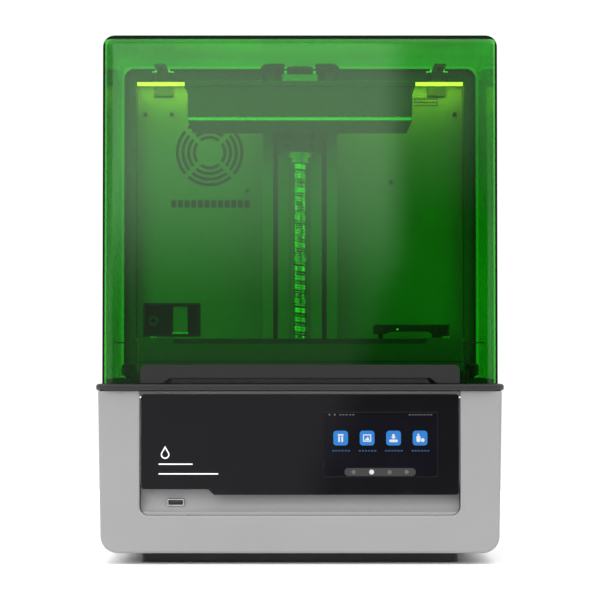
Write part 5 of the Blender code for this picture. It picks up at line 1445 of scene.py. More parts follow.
# ---- rear housing and chamber
@dataclass
class Chamber(Assembly):
    """Rear housing, chamber wall with grille and slots, lamp strip, heater fan and feed dock."""

    band: float = 11 * MM
    wall: float = 2.5 * MM
    grille_x: float = -99.4 * MM
    grille_z: float = 428 * MM
    radii: tuple[float, ...] = (37.2 * MM, 31 * MM, 24.8 * MM, 18.6 * MM)
    slot: float = 3.5 * MM
    spoke: float = 5 * MM
    row_z: float = 371.5 * MM
    row_count: int = 12
    row_pitch: float = 7.33 * MM
    row_left: float = -141.5 * MM
    hinge_x: float = 150 * MM
    notch: float = 24 * MM

    def build(self) -> None:
        """Make the chamber."""
        self.build_housing()
        self.build_wall()
        self.build_lamp()
        self.build_fan()
        self.build_dock()

    def build_housing(self) -> None:
        """The black housing behind the lid, open to the print chamber."""
        span = Spans.of("rear_housing")
        sheet = Spans.of("chamber_wall")
        top = span.z[1]
        housing = prism("housing_moulding", rounded(span.x, span.y, (0, 0, 14 * MM, 14 * MM), 14),
                        *span.z, Axis.Z)
        round_edges(housing, 8 * MM, 8, lambda a, b: min(a.z, b.z) > top - 1e-5
                    and max(a.y, b.y) > span.y[0] + 1e-5)
        inner = around(span.x, -self.band)
        opening = prism("opening", rounded(inner, (span.z[0] - 3 * MM, top - self.band),
                                           (0, 0, 3 * MM, 3 * MM), 8),
                        span.y[0] - MM, sheet.y[1] + MM, Axis.Y)
        cavity = prism("cavity", rounded(around(span.x, -self.wall),
                                         (sheet.y[1] + 0.3 * MM, span.y[1] - self.wall),
                                         (0, 0, 11 * MM, 11 * MM), 8),
                       span.z[0] - 3 * MM, top - self.wall, Axis.Z)
        notches = [block("notch", about(s * self.hinge_x, self.notch / 2),
                         (span.y[0] - MM, sheet.y[0] + 2 * MM), (top - self.band - 3 * MM, top + MM))
                   for s in (-1, 1)]
        vents = []
        for number in range(14):
            left = (number - 7) * 12 * MM
            vents.append(prism("vent", rounded((left + 2 * MM, left + 6 * MM), (400 * MM, 450 * MM),
                                               1.9 * MM, 6),
                               span.y[1] - 2 * self.wall, span.y[1] + MM, Axis.Y))
        carve(housing, [opening, cavity, *notches, merged("vents", vents)])
        soften(tidy(housing), 0.5 * MM, 2, 50)
        self.show(housing, self.finish.housing, "base", Slot.BLACK, "rear_housing")
        spots = [(x, span.y[1], z) for x in both(165 * MM) for z in (200 * MM, 350 * MM, 480 * MM)]
        self.fasten("housing_bolts", (3.0 * MM, 1.5 * MM), (0, 1, 0), spots)

    def grille_gap(self, radius: float, quarter: int, through: Pair) -> Piece:
        """One quarter of a ring slot between two spokes.

        Args:
            radius: the slot's outer radius.
            quarter: which of the four quarters.
            through: the depths it cuts between.

        Returns:
            The cutter.
        """
        lost = math.degrees(self.spoke / 2 / radius)
        start, end = 45 + 90 * quarter + lost, 135 + 90 * quarter - lost
        outline = arc(self.grille_x, self.grille_z, radius, start, end, 18)
        outline += arc(self.grille_x, self.grille_z, radius - self.slot, end, start, 18)
        return prism("gap", outline, *through, Axis.Y)

    def build_wall(self) -> None:
        """The sheet behind the column with its ring grille, slot row, vent field and rivets."""
        span = Spans.of("chamber_wall")
        through = around(span.y, 2 * MM)
        wall = prism("chamber_sheet", rounded(span.x, span.z, (0, 0, 3 * MM, 3 * MM), 8), *span.y, Axis.Y)
        gaps = [self.grille_gap(radius, quarter, through) for radius in self.radii for quarter in range(4)]
        slot = prism("slot", rounded((self.row_left, self.row_left + 5.4 * MM), about(self.row_z, 4.2 * MM),
                                     0.8 * MM, 3), *through, Axis.Y)
        gaps.append(rows_of("slot_row", slot, self.row_count, (self.row_pitch, 0.0, 0.0), self.finish.trim))
        hole = prism("hole", circle(113 * MM, 487 * MM, 1.2 * MM, 8), *through, Axis.Y)
        gaps.append(rows_of("vent_field", hole, 12, (3.4 * MM, 0.0, 0.0),
                            self.finish.trim, 3, (0.0, 0.0, -3.6 * MM)))
        dock = Spans.of("feed_dock")
        gaps.append(block("dock_hole", around(dock.x, 0.3 * MM), through, around(dock.z, 0.3 * MM)))
        carve(wall, gaps)
        self.show(soften(tidy(wall), 0.0), self.finish.chamber, "base", Slot.BLACK, "chamber_wall")
        spots = [(x * MM, span.y[0], z * MM) for x, z in ((-170, 470), (170, 470), (100, 395),
                                                          (-141, 470), (-58, 386))]
        self.fasten("wall_bolts", (2.4 * MM, 1.4 * MM), (0, -1, 0), spots)

    def build_lamp(self) -> None:
        """The lamp strip under the housing's top band, with its channel."""
        span = Spans.of("led_bar")
        strip = prism("lamp_diffuser", rounded(span.y, around(span.z, -0.3 * MM),
                                               0.7 * MM, 5), *span.x, Axis.X)
        strip.visible_glossy = False
        self.show(soften(strip, 0.0), self.finish.lamp, "base", Slot.LIGHT, "led_bar")
        top = span.z[1] + 0.3 * MM
        channel = [(span.y[0], top), (span.y[1] + 1.2 * MM, top), (span.y[1] + 1.2 * MM, span.z[0]),
                   (span.y[1] + 2.2 * MM, span.z[0]), (span.y[1] + 2.2 * MM, top + 0.8 * MM),
                   (span.y[0], top + 0.8 * MM)]
        pieces = [prism("channel", channel, *ends, Axis.X)
                  for ends in ((span.x[0], -163 * MM), (-137 * MM, 137 * MM), (163 * MM, span.x[1]))]
        self.show(soften(merged("lamp_channel", pieces), 0.2 * MM, 2), self.finish.trim, "base", Slot.STEEL)

    def fan_blades(self, name: str, size: float, low: float, high: float,
                   centre: Colour, axis: Axis) -> Piece:
        """A fan's hub and seven swept blades.

        Args:
            name: the piece's name.
            size: the fan's width.
            low: the rotor's first end along its axis.
            high: its other end.
            centre: where the axis goes.
            axis: the axis.

        Returns:
            The rotor.
        """
        hub = size * 0.18
        profile = [(0.0, low), (hub, low), (hub, high - 1.5 * MM), (hub - 1.5 * MM, high), (0.0, high)]
        core = turned("hub", profile, (0, 0, 0), axis, 40)
        lean = Vector((0.7, 0.0, 0.7) if axis is Axis.Y else (0.8, 0.3, 0.0))
        sweep = [(r * size * math.cos(math.radians(a)), r * size * math.sin(math.radians(a)))
                 for r, a in ((0.16, 0), (0.24, 5), (0.32, 11), (0.40, 17), (0.44, 20), (0.44, 38),
                              (0.40, 36), (0.32, 31), (0.24, 26), (0.16, 20))]
        blade = prism("blade", sweep, low + 4 * MM, low + 5.6 * MM, axis)
        blade.data.transform(Matrix.Rotation(math.radians(14), 4, lean))
        blades = ring_of("blades", blade, (0.0, 0.0, 0.0), axis, 7, self.finish.trim)
        made = merged(name, [core, blades])
        made.data.transform(Matrix.Translation(centre))
        return soften(made, 0.0)

    def build_fan(self) -> None:
        """The heater fan behind the ring grille."""
        self.dress(self.finish.black, "heater_fan_frame")
        span = Spans.of("heater_fan_rotor")
        frame = Spans.of("heater_fan_frame")
        x, _, z = frame.middle
        back = prism("heater_fan_shroud", rounded(around(frame.x, 3 * MM), around(frame.z, 3 * MM),
                                                  6 * MM, 6),
                     frame.y[1] + 0.4 * MM, frame.y[1] + 1.6 * MM, Axis.Y)
        self.show(soften(back, 0.3 * MM, 2), self.finish.rubber, "base", Slot.BLACK)
        rotor = self.fan_blades("heater_fan_blades", frame.x[1] - frame.x[0], span.y[0],
                                span.y[1], (x, 0.0, z), Axis.Y)
        self.show(rotor, self.finish.trim, "heater_fan", Slot.BLACK, "heater_fan_rotor")

    def build_dock(self) -> None:
        """The recess that holds the resin feed's port and its latch plate."""
        span = Spans.of("feed_dock")
        thick = 2 * MM
        box = prism("feed_bay", rounded(span.x, span.z, 1.5 * MM, 5), *span.y, Axis.Y)
        room = prism("room", rounded(around(span.x, -thick), around(span.z, -thick), 1 * MM, 4),
                     span.y[0] - MM, span.y[1] - thick, Axis.Y)
        carve(box, [room])
        self.show(soften(tidy(box), 0.3 * MM, 2), self.finish.trim, "base", Slot.TRIM, "feed_dock")
        x, z = span.x[0] + 10.2 * MM, span.middle[2] - 1 * MM
        deep = span.y[0] + 12 * MM
        ring = [(2.6 * MM, 0.0), (5.6 * MM, 0.0), (5.6 * MM, 15 * MM), (2.6 * MM, 15 * MM)]
        port = turned("feed_port_ring", ring, (x, deep, z), Axis.Y, 32)
        self.show(soften(port, 0.3 * MM, 2), self.finish.anodised, "base", Slot.ALUMINIUM)
        plate_x = (span.middle[0] + 1 * MM, span.middle[0] + 17 * MM)
        plate = prism("feed_latch_plate", rounded(plate_x, around(span.z, -3 * MM), 1 * MM, 4),
                      span.y[0] + 4 * MM, span.y[0] + 8 * MM, Axis.Y)
        self.show(soften(plate, 0.6 * MM), self.finish.chamber, "base", Slot.ALUMINIUM)
        ledge = prism("feed_latch_ledge", rounded(around(plate_x, 1 * MM),
                                                  (span.z[0] + 2.4 * MM, span.z[0] + 4.6 * MM), 0.6 * MM, 3),
                      span.y[0] + 1 * MM, span.y[0] + 9 * MM, Axis.Y)
        self.show(soften(ledge, 0.3 * MM, 2), self.finish.machined, "base", Slot.ALUMINIUM)


# ---- z axis
@dataclass
class ZAxis(Assembly):
    """Column with rails, threaded screw, carriage and the arm that carries the platform."""

    slot_x: float = 26.4 * MM
    mouth: float = 5 * MM
    lip: float = 4 * MM
    room_half: float = 9 * MM
    room: float = 16 * MM
    lead: float = 5 * MM
    starts: int = 2
    ridge: float = 1.3 * MM
    screw_y: float = 48 * MM

    def build(self) -> None:
        """Make the axis."""
        self.build_column()
        self.build_screw()
        self.build_carriage()
        self.build_arm()

    def build_column(self) -> None:
        """The slotted column, its rails and the bearing block on top."""
        span = Spans.of("z_column")
        front = span.y[0]
        column = prism("column_extrusion", rounded(span.x, span.y, 1.5 * MM, 4), *span.z, Axis.Z)
        gaps = []
        for side in (-1, 1):
            middle = (side * self.slot_x,) * 2
            gaps += [block("mouth", around(middle, self.mouth / 2), (front - MM, front + self.lip + MM),
                           around(span.z, MM)),
                     block("room", around(middle, self.room_half),
                           (front + self.lip, front + self.lip + self.room), around(span.z, 2 * MM))]
        groove = prism("groove", rounded(both(11 * MM), (front - MM, front + 1.2 * MM),
                                         (0, 0, 1 * MM, 1 * MM), 3), span.z[0] - MM, span.z[1] + MM, Axis.Z)
        carve(column, [*gaps, groove])
        self.show(soften(tidy(column), 0.25 * MM, 2), self.finish.column, "base", Slot.ANODISED, "z_column")
        self.dress(self.finish.bolt, "rail_left", "rail_right", "slide_block_left", "slide_block_right")
        cap = Spans.of("upper_bearing")
        head = prism("bearing_block", rounded(cap.x, cap.y, 2 * MM, 5), *cap.z, Axis.Z)
        bore = prism("bore", circle(0.0, self.screw_y, 5.3 * MM, 40), *around(cap.z, MM), Axis.Z)
        carve(head, [bore])
        self.show(soften(tidy(head), 0.5 * MM), self.finish.anodised, "base", Slot.ANODISED, "upper_bearing")
        race = [(5.4 * MM, 0.0), (9.5 * MM, 0.0), (9.5 * MM, 1.0 * MM), (5.4 * MM, 1.0 * MM)]
        seat = turned("bearing_race", race, (0.0, self.screw_y, cap.z[1]), Axis.Z, 40)
        self.show(soften(seat, 0.2 * MM, 2), self.finish.thread, "base", Slot.STEEL)
        spots = [(x, cap.y[0], cap.middle[2]) for x in both(30 * MM)]
        self.fasten("bearing_bolts", (3.0 * MM, 1.6 * MM), (0, -1, 0), spots)

    def build_screw(self) -> None:
        """The screw: a core with journals, and the ridge that winds round it."""
        span = Spans.of("z_screw")
        radius = span.x[1]
        core = radius - self.ridge
        low, high = 148 * MM, 478 * MM
        journal = 5 * MM
        profile = [(0.0, span.z[0]), (journal - 0.5 * MM, span.z[0]), (journal, span.z[0] + 0.5 * MM),
                   (journal, low), (core, low), (core, high), (journal, high),
                   (journal, span.z[1] - 0.5 * MM), (journal - 0.5 * MM, span.z[1]), (0.0, span.z[1])]
        rod = turned("screw_core", profile, (0.0, self.screw_y, 0.0), Axis.Z, 48)
        self.show(soften(rod, 0.0), self.finish.thread, "screw", Slot.STEEL, "z_screw")
        ridges = [thread_of("ridge", radius - 0.05 * MM, self.ridge + 0.3 * MM, self.lead,
                            low + 3 * MM + number * self.lead / self.starts, high - 4 * MM,
                            (0.0, self.screw_y), self.starts, self.finish.thread)
                  for number in range(self.starts)]
        thread = merged("screw_thread", ridges)
        self.show(soften(thread, 0.0), self.finish.thread, "screw", Slot.STEEL)
        coupler = Spans.of("shaft_coupler")
        outer = coupler.x[1]
        ring = [(5.3 * MM, coupler.z[0]), (outer - 0.8 * MM, coupler.z[0]), (outer, coupler.z[0] + 0.8 * MM),
                (outer, coupler.middle[2] - 1 * MM), (outer - 1.5 * MM, coupler.middle[2]),
                (outer, coupler.middle[2] + 1 * MM), (outer, coupler.z[1] - 0.8 * MM),
                (outer - 0.8 * MM, coupler.z[1]), (5.3 * MM, coupler.z[1])]
        joint = turned("screw_coupler", ring, (0.0, self.screw_y, 0.0), Axis.Z, 40)
        self.show(soften(joint, 0.0), self.finish.blasted, "screw", Slot.ALUMINIUM, "shaft_coupler")
        self.dress(self.finish.steel, "motor_shaft")
        self.dress(self.finish.black, "z_motor")

    def build_carriage(self) -> None:
        """The carriage plate with four bolts, and the nut under it."""
        span = Spans.of("carriage_plate")
        neck, shoulder = 24.7 * MM, span.z[0] + 12 * MM
        low, top = span.z
        half = span.x[1]
        outline = arc(-neck + 3 * MM, low + 3 * MM, 3 * MM, 180, 270, 5)
        outline += arc(neck - 3 * MM, low + 3 * MM, 3 * MM, 270, 360, 5)
        outline += [(neck, shoulder), (half, shoulder), (half, top), (-half, top),
                    (-half, shoulder), (-neck, shoulder)]
        plate = prism("carriage_block", outline, *span.y, Axis.Y)
        bore = prism("bore", circle(0.0, self.screw_y, 9 * MM, 40), *around(span.z, MM), Axis.Z)
        carve(plate, [bore])
        self.show(soften(tidy(plate), 0.6 * MM),
                  self.finish.anodised, "carriage", Slot.ANODISED, "carriage_plate")
        spots = [(x, span.y[0], z) for x in both(13 * MM) for z in (low + 5.5 * MM, low + 15.5 * MM)]
        spots += [(x, span.y[0], shoulder + 9 * MM) for x in both(24 * MM)]
        self.fasten("carriage_bolts", (3.4 * MM, 0.3 * MM), (0, -1, 0), spots, "carriage", self.finish.black)
        nut = Spans.of("z_nut")
        outer = nut.x[1]
        ring = [(8.7 * MM, nut.z[0]), (outer - 3.5 * MM, nut.z[0]), (outer - 3.0 * MM, nut.z[0] + 0.5 * MM),
                (outer - 3.0 * MM, nut.z[0] + 6 * MM), (outer - 0.3 * MM, nut.z[0] + 6 * MM),
                (outer, nut.z[0] + 6.3 * MM), (outer, nut.z[1]), (8.7 * MM, nut.z[1])]
        body = turned("screw_nut", ring, (0.0, self.screw_y - MM, 0.0), Axis.Z, 48)
        body.data.transform(Matrix.Translation((0.0, MM, 0.0)))
        carve(body, [block("flat", both(20 * MM), (nut.y[1], nut.y[1] + 20 * MM), around(nut.z, MM))])
        self.show(soften(body, 0.0), self.finish.blasted, "carriage", Slot.ALUMINIUM, "z_nut")

    def build_arm(self) -> None:
        """The arm over the platform, its foot, the paddle's cheeks and the bolts."""
        span = Spans.of("cantilever_arm")
        paddle = Spans.of("release_paddle")
        low, top = 485 * MM, 495 * MM
        back = span.y[1]
        arm = prism("platform_arm", rounded(span.x, (span.y[0], back), 2 * MM, 5), low, top, Axis.Z)
        plate = 2.1 * MM
        foot = block("foot", span.x, (back - plate, back), (span.z[0], low + MM))
        pivot_y = -40 * MM
        cheeks = [prism("cheek", [(pivot_y - 5 * MM, low + 5 * MM), (pivot_y + 5 * MM, low + 5 * MM)]
                        + arc(pivot_y, span.z[1] - 4 * MM, 4 * MM, 0, 180, 10),
                        *sorted((s * 13.5 * MM, s * 16.5 * MM)), Axis.X) for s in (-1, 1)]
        bore = prism("bore", circle(pivot_y, span.z[1] - 2.5 * MM, 1.8 * MM, 24), *both(25 * MM), Axis.X)
        carve(arm, [foot, *cheeks], "UNION")
        carve(arm, [bore])
        self.show(soften(tidy(arm), 0.5 * MM, 2),
                  self.finish.blasted, "carriage", Slot.ALUMINIUM, "cantilever_arm")
        spots = [(x, y, top) for x in both(13 * MM) for y in (22 * MM, 6 * MM)]
        self.fasten("arm_bolts", (3.4 * MM, 2.0 * MM), (0, 0, 1), spots, "carriage")
        spots = [(x, back - plate, z) for x in both(14 * MM)
                 for z in (span.z[0] + 6 * MM, span.z[0] + 18 * MM)]
        self.fasten("arm_foot_bolts", (3.2 * MM, 0.5 * MM), (0, -1, 0), spots, "carriage")
        outline = [(paddle.y[0], paddle.z[1] - 3.4 * MM), (paddle.y[0] + 0.8 * MM, paddle.z[1] - 0.6 * MM),
                   (paddle.y[0] + 3 * MM, paddle.z[1]), (pivot_y, paddle.z[1])]
        outline += arc(pivot_y, 499 * MM, paddle.z[1] - 499 * MM, 90, -100,
                       12) + [(pivot_y - 4 * MM, paddle.z[1] - 3.6 * MM)]
        tongue = prism("paddle_tongue", outline, *both(13.2 * MM), Axis.X)
        pin = rod("paddle_pin", 1.5 * MM, paddle.x, (0.0, pivot_y, 499 * MM), Axis.X, 24)
        ribs = [prism("rib", rounded(both(9 * MM), about(paddle.y[0] + y * MM, 0.6 * MM), 0.5 * MM, 3),
                      paddle.z[1] - 0.5 * MM, paddle.z[1] + 0.4 * MM, Axis.Z) for y in (4, 7, 10)]
        carve(tongue, [pin, *ribs], "UNION")
        self.show(soften(tongue, 0.3 * MM, 2), self.finish.trim, "paddle", Slot.TRIM, "release_paddle")


# ---- platform
@dataclass
class Platform(Assembly):
    """Build plate, its hollow body and the quick-release handle."""

    flange: float = 5.5 * MM
    reach: float = 3.4 * MM
    wall: float = 4 * MM
    lean: float = 1.8 * MM

    def build(self) -> None:
        """Make the platform."""
        self.build_plate()
        self.build_body()
        self.build_handle()

    def build_plate(self) -> None:
        """The plate, whose sides carry a bright chamfer and whose underside has a rough grinding finish with
        a dark colour that is painted shade.
        """
        span = Spans.of("build_plate")
        plate = prism("plate_ground", rounded(span.x, span.y, 1.6 * MM, 5), *span.z, Axis.Z)
        for vertex in plate.data.vertices:
            if vertex.co.z > span.z[1] - 1e-5:
                vertex.co.x *= 1.0 - self.lean / span.x[1]
                vertex.co.y += self.lean if vertex.co.y < sum(span.y) / 2 else -self.lean
        self.show(soften(plate, 0.0), self.finish.machined, "platform", Slot.ALUMINIUM, "build_plate")
        # Painted shade: faces pointing down take the dark underside metal.
        plate.data.materials.append(self.finish.shaded_ground_metal)
        for face in plate.data.polygons:
            face.material_index = int(face.normal.z < -0.9)

    def build_body(self) -> None:
        """The body with its flange, top dish and raised island, and the bolts along its edge."""
        span = Spans.of("platform_body")
        x, y = around(span.x, -self.reach), around(span.y, -self.reach)
        low, top = span.z
        under = top - self.flange
        body = prism("platform_casting", rounded(x, y, 3 * MM, 6), low, under + MM, Axis.Z)
        flange = prism("flange", rounded(span.x, span.y, 4 * MM, 8), under, top, Axis.Z)
        round_edges(flange, 1.2 * MM, 3, lambda a, b: abs(a.z - b.z) < 1e-5)
        dish = prism("dish", rounded(around(x, -6 * MM), around(y, -6 * MM), 4 * MM, 6), top - 1.2 * MM,
                     top + MM, Axis.Z)
        island = prism("island", rounded(both(42 * MM), (-80 * MM, -16 * MM), 4 * MM, 6),
                       top - 3 * MM, top, Axis.Z)
        pocket = block("pocket", around(x, -self.wall), around(y, -self.wall),
                       (low - MM, under - self.wall / 2))
        carve(body, [flange], "UNION")
        carve(body, [dish, pocket])
        carve(body, [island], "UNION")
        self.show(soften(tidy(body), 0.4 * MM, 2),
                  self.finish.anodised, "platform", Slot.ALUMINIUM, "platform_body")
        spots = [(px, py, top - 1.2 * MM) for px in both(104 * MM) for py in (-98 * MM, -47 * MM, 4 * MM)]
        spots += [(px, py, top - 1.2 * MM) for px in both(55 * MM) for py in (-98 * MM, 4 * MM)]
        self.fasten("platform_bolts", (3.4 * MM, 1.1 * MM), (0, 0, 1), spots, "platform")

    def build_handle(self) -> None:
        """The yoke: two half loops in front and the jaws that grip the arm."""
        span = Spans.of("platform_handle")
        low, top = span.z
        front, back = span.y
        base = prism("quick_release_yoke", rounded(both(37 * MM), span.y, 3 * MM, 5),
                     low, low + 3 * MM, Axis.Z)
        extras = []
        out, strip, corner = 41.5 * MM, 4.5 * MM, 9 * MM
        for side in (-1, 1):
            inner = side * 20.6 * MM
            outer = inner + side * 6 * MM
            extras.append(block("jaw", tuple(sorted((inner, outer))),
                                (front + 7 * MM, back), (low + MM, 498 * MM)))
            extras.append(block("jaw_lip", tuple(sorted((inner - side * 3 * MM, outer))),
                                (front + 7 * MM, -48 * MM), (495.3 * MM, 498 * MM)))
            loop = [(side * 15.8 * MM, top - strip), (side * 15.8 * MM, top)]
            loop += [(side * u, v) for u, v in arc(out - corner, top - corner, corner, 90, 0, 10)]
            loop += [(side * 37 * MM, low + MM), (side * 32.5 * MM, low + MM)]
            loop += [(side * u, v) for u, v in arc(out - corner, top - corner, corner - strip, 0, 90, 10)]
            extras.append(prism("loop", loop, front, front + 14 * MM, Axis.Y))
        carve(base, extras, "UNION")
        self.show(soften(tidy(base), 0.5 * MM, 2),
                  self.finish.trim, "platform", Slot.TRIM, "platform_handle")


# ---- vat
@dataclass
class Vat(Assembly):
    """Resin vat with its film, cradle, latches and the screen under it."""

    tank_half: float = 128 * MM
    tank: Pair = (-120 * MM, 24 * MM)
    corner: float = 12 * MM
    lip_half: float = 126 * MM
    lip_drop: float = 6 * MM
    seam_drop: float = 23 * MM
    film: float = 8 * MM
    latch_y: float = -60 * MM
    latch_x: float = 177 * MM

    def build(self) -> None:
        """Make the vat."""
        self.build_body()
        self.build_film()
        self.build_cradle()
        self.build_latches()

    def build_body(self) -> None:
        """The cast vat with its tank, pouring lip, side grips and level marks."""
        span = Spans.of("vat_body")
        low, top = span.z
        body = prism("vat_casting", rounded(span.x, span.y, 10 * MM, 10), low, top, Axis.Z)
        round_edges(body, 1.5 * MM, 4, lambda a, b: min(a.z, b.z) > top - 1e-5)
        tank = prism("tank", rounded(both(self.tank_half), self.tank, self.corner, 10),
                     low - MM, top + MM, Axis.Z)
        seat = block("seat", both(self.tank_half + self.film + 0.3 * MM),
                     (self.tank[0] - self.film - 0.3 * MM, self.tank[1] + 2.3 * MM),
                     (low - MM, low + 4.3 * MM))
        lip = prism("lip", rounded(both(self.lip_half), (top - self.lip_drop, top + MM),
                                   (4 * MM, 4 * MM, 0, 0), 6),
                    span.y[0] - MM, self.tank[0] + 10 * MM, Axis.Y)
        grips = [prism("grip", rounded((-45 * MM, 25 * MM), (low + 14 * MM, low + 32 * MM), 4 * MM, 6),
                       *sorted((s * (span.x[1] - 16 * MM), s * (span.x[1] + MM))), Axis.X) for s in (-1, 1)]
        seam = block("seam", around(span.x, MM), (span.y[0] - MM, span.y[0] + 0.7 * MM),
                     (top - self.seam_drop - 1.1 * MM, top - self.seam_drop))
        carve(body, [tank, seat, lip, seam, *grips])
        self.show(soften(tidy(body), 0.8 * MM), self.finish.vat, "vat", Slot.TRIM, "vat_body")
        gasket = block("vat_seam_gasket", around(span.x, -0.4 * MM),
                       (span.y[0] + 0.05 * MM, span.y[0] + 0.9 * MM),
                       (top - self.seam_drop - 1.1 * MM, top - self.seam_drop))
        self.show(soften(gasket, 0.1 * MM, 1), self.finish.rubber, "vat", Slot.TRIM)
        # Painted shade: a near-black rubber strip set into the lowered pour lip stands in for the shade
        # under the lip.
        guard = prism("pour_lip_guard", rounded(both(self.lip_half - 0.2 * MM),
                                                (top - self.lip_drop + 0.2 * MM, top - 0.9 * MM),
                                                2.2 * MM, 6),
                      span.y[0] + 0.4 * MM, span.y[0] + 4 * MM, Axis.Y)
        self.show(soften(guard, 0.4 * MM, 2), self.finish.rubber, "vat", Slot.TRIM)
        mark = prism("level", rounded((-18 * MM, 0.0), (low + 14 * MM, low + 14.8 * MM), 0.3 * MM, 3),
                     self.tank[1] - 0.35 * MM, self.tank[1] + 0.2 * MM, Axis.Y)
        marks = rows_of("level_marks", mark, 3, (0.0, 0.0, 8 * MM), self.finish.mark)
        self.show(marks, self.finish.mark, "vat", Slot.TRIM)
        spots = [(x, y, top) for x in both(145 * MM) for y in (-138 * MM, 14 * MM)]
        self.fasten("vat_bolts", (3.6 * MM, 1.6 * MM), (0, 0, 1), spots, "vat", self.finish.steel)

    def build_film(self) -> None:
        """The film frame with its release film, and the screen under it with its border."""
        span = Spans.of("film_frame")
        self.dress(self.finish.blasted, "film_frame")
        sheet = prism("release_film", rounded(both(self.tank_half - 2 * MM), around(self.tank, -2 * MM),
                                              3 * MM, 4),
                      span.z[0] + 0.82 * MM, span.z[0] + 0.95 * MM, Axis.Z)
        self.show(soften(sheet, 0.0), self.finish.screen, "vat", Slot.SCREEN)
        panel = Spans.of("lcd_panel")
        self.dress(self.finish.glass, "lcd_panel")
        border = prism("screen_border", rounded(around(panel.x, -1 * MM), around(panel.y, -1 * MM),
                                                2 * MM, 4),
                       panel.z[1] - 0.05 * MM, panel.z[1] + 0.12 * MM, Axis.Z)
        gap = prism("gap", rounded(around(panel.x, -8 * MM), around(panel.y, -8 * MM), 1 * MM, 4),
                    panel.z[1] - MM, panel.z[1] + MM, Axis.Z)
        carve(border, [gap])
        self.show(soften(border, 0.0), self.finish.rubber, "base", Slot.SCREEN)

    def build_cradle(self) -> None:
        """The cradle keeps its CAD shape; its bolts are added."""
        self.dress(self.finish.trim, "vat_cradle")
        span = Spans.of("vat_cradle")
        spots = [(s * (span.x[1] - 2 * MM), y, span.z[1] - 0.2 * MM) for s in (-1, 1)
                 for y in (-130 * MM, 10 * MM)]
        self.fasten("cradle_bolts", (1.5 * MM, 0.9 * MM), (0, 0, 1), spots)

    def build_latches(self) -> None:
        """Knurled cam knobs, one each side."""
        for side, word in ((-1, "left"), (1, "right")):
            span = Spans.of(f"vat_latch_{word}")
            x = side * self.latch_x
            low, top = 184 * MM, span.z[1]
            profile = [(0.0, low - 7.2 * MM), (3 * MM, low - 7.2 * MM), (3 * MM, low), (6.2 * MM, low),
                       (6.4 * MM, low + 0.6 * MM), (6.4 * MM, top - 1.4 * MM), (5.4 * MM, top - 0.3 * MM),
                       (4.2 * MM, top), (0.0, top - 0.6 * MM)]
            knob = turned("knob", profile, (x, self.latch_y, 0.0), Axis.Z, 40)
            rib = prism("rib", rounded((5.9 * MM, 6.95 * MM), both(0.55 * MM),
                                       (0.2 * MM, 0.5 * MM, 0.5 * MM, 0.2 * MM), 3),
                        low + 1 * MM, top - 1.6 * MM, Axis.Z)
            ribs = ring_of("ribs", rib, (x, self.latch_y, 0.0), Axis.Z, 22, self.finish.trim)
            lobe_x = tuple(sorted((x - side * 2 * MM, x - side * 13.6 * MM)))
            lobe = prism("lobe", rounded(lobe_x, about(self.latch_y, 3 * MM), 2.4 * MM, 5), low,
                         low + 6 * MM, Axis.Z)
            made = merged(f"latch_knob_{word}", [knob, ribs, lobe])
            self.show(soften(made, 0.0), self.finish.trim, f"latch_{word}", Slot.TRIM, f"vat_latch_{word}")


# ---- feed arm
@dataclass
class FeedArm(Assembly):
    """Swinging resin feed arm on its post."""

    pivot: Pair = (152 * MM, 233 * MM)
    half: float = 5 * MM
    y: float = 49 * MM
    tip: float = 79 * MM

    def build(self) -> None:
        """Make the feed arm and its post."""
        self.dress(self.finish.trim, "feed_post")
        px, pz = self.pivot
        low, top = pz - self.half, pz + self.half
        outline = arc(px, pz, self.half, -90, 90, 14)
        outline += arc(self.tip + 3 * MM, top - 3 * MM, 3 * MM, 90, 180, 6) + [(self.tip, low)]
        outline += [(self.tip + 14 * MM, low), (self.tip + 18 * MM, low + 2.6 * MM),
                    (px - 14 * MM, low + 2.6 * MM), (px - 9 * MM, low)]
        arm = prism("feed_arm_moulding", outline, self.y - self.half, self.y + self.half, Axis.Y)
        pin_y = Spans.of("feed_arm").y
        pin = rod("pin", 2.5 * MM, pin_y, (px, 0.0, pz), Axis.Y)
        nozzle_foot = Spans.of("feed_arm").z[0]
        profile = [(0.0, nozzle_foot), (1.8 * MM, nozzle_foot), (2.6 * MM, nozzle_foot + 1.5 * MM),
                   (2.6 * MM, pz), (0.0, pz)]
        nozzle = turned("nozzle", profile, (self.tip + 8 * MM, self.y, 0.0), Axis.Z, 32)
        carve(arm, [pin, nozzle], "UNION")
        self.show(soften(tidy(arm), 0.6 * MM), self.finish.black, "feed_arm", Slot.BLACK, "feed_arm")
        lamp = turned("feed_lamp", [(0.0, 0.0), (1.1 * MM, 0.0), (1.0 * MM, -0.5 * MM), (0.0, -0.7 * MM)],
                      (105 * MM, self.y - self.half, pz), Axis.Y, 20)
        self.show(soften(lamp, 0.0), self.finish.white, "feed_arm", Slot.LIGHT)


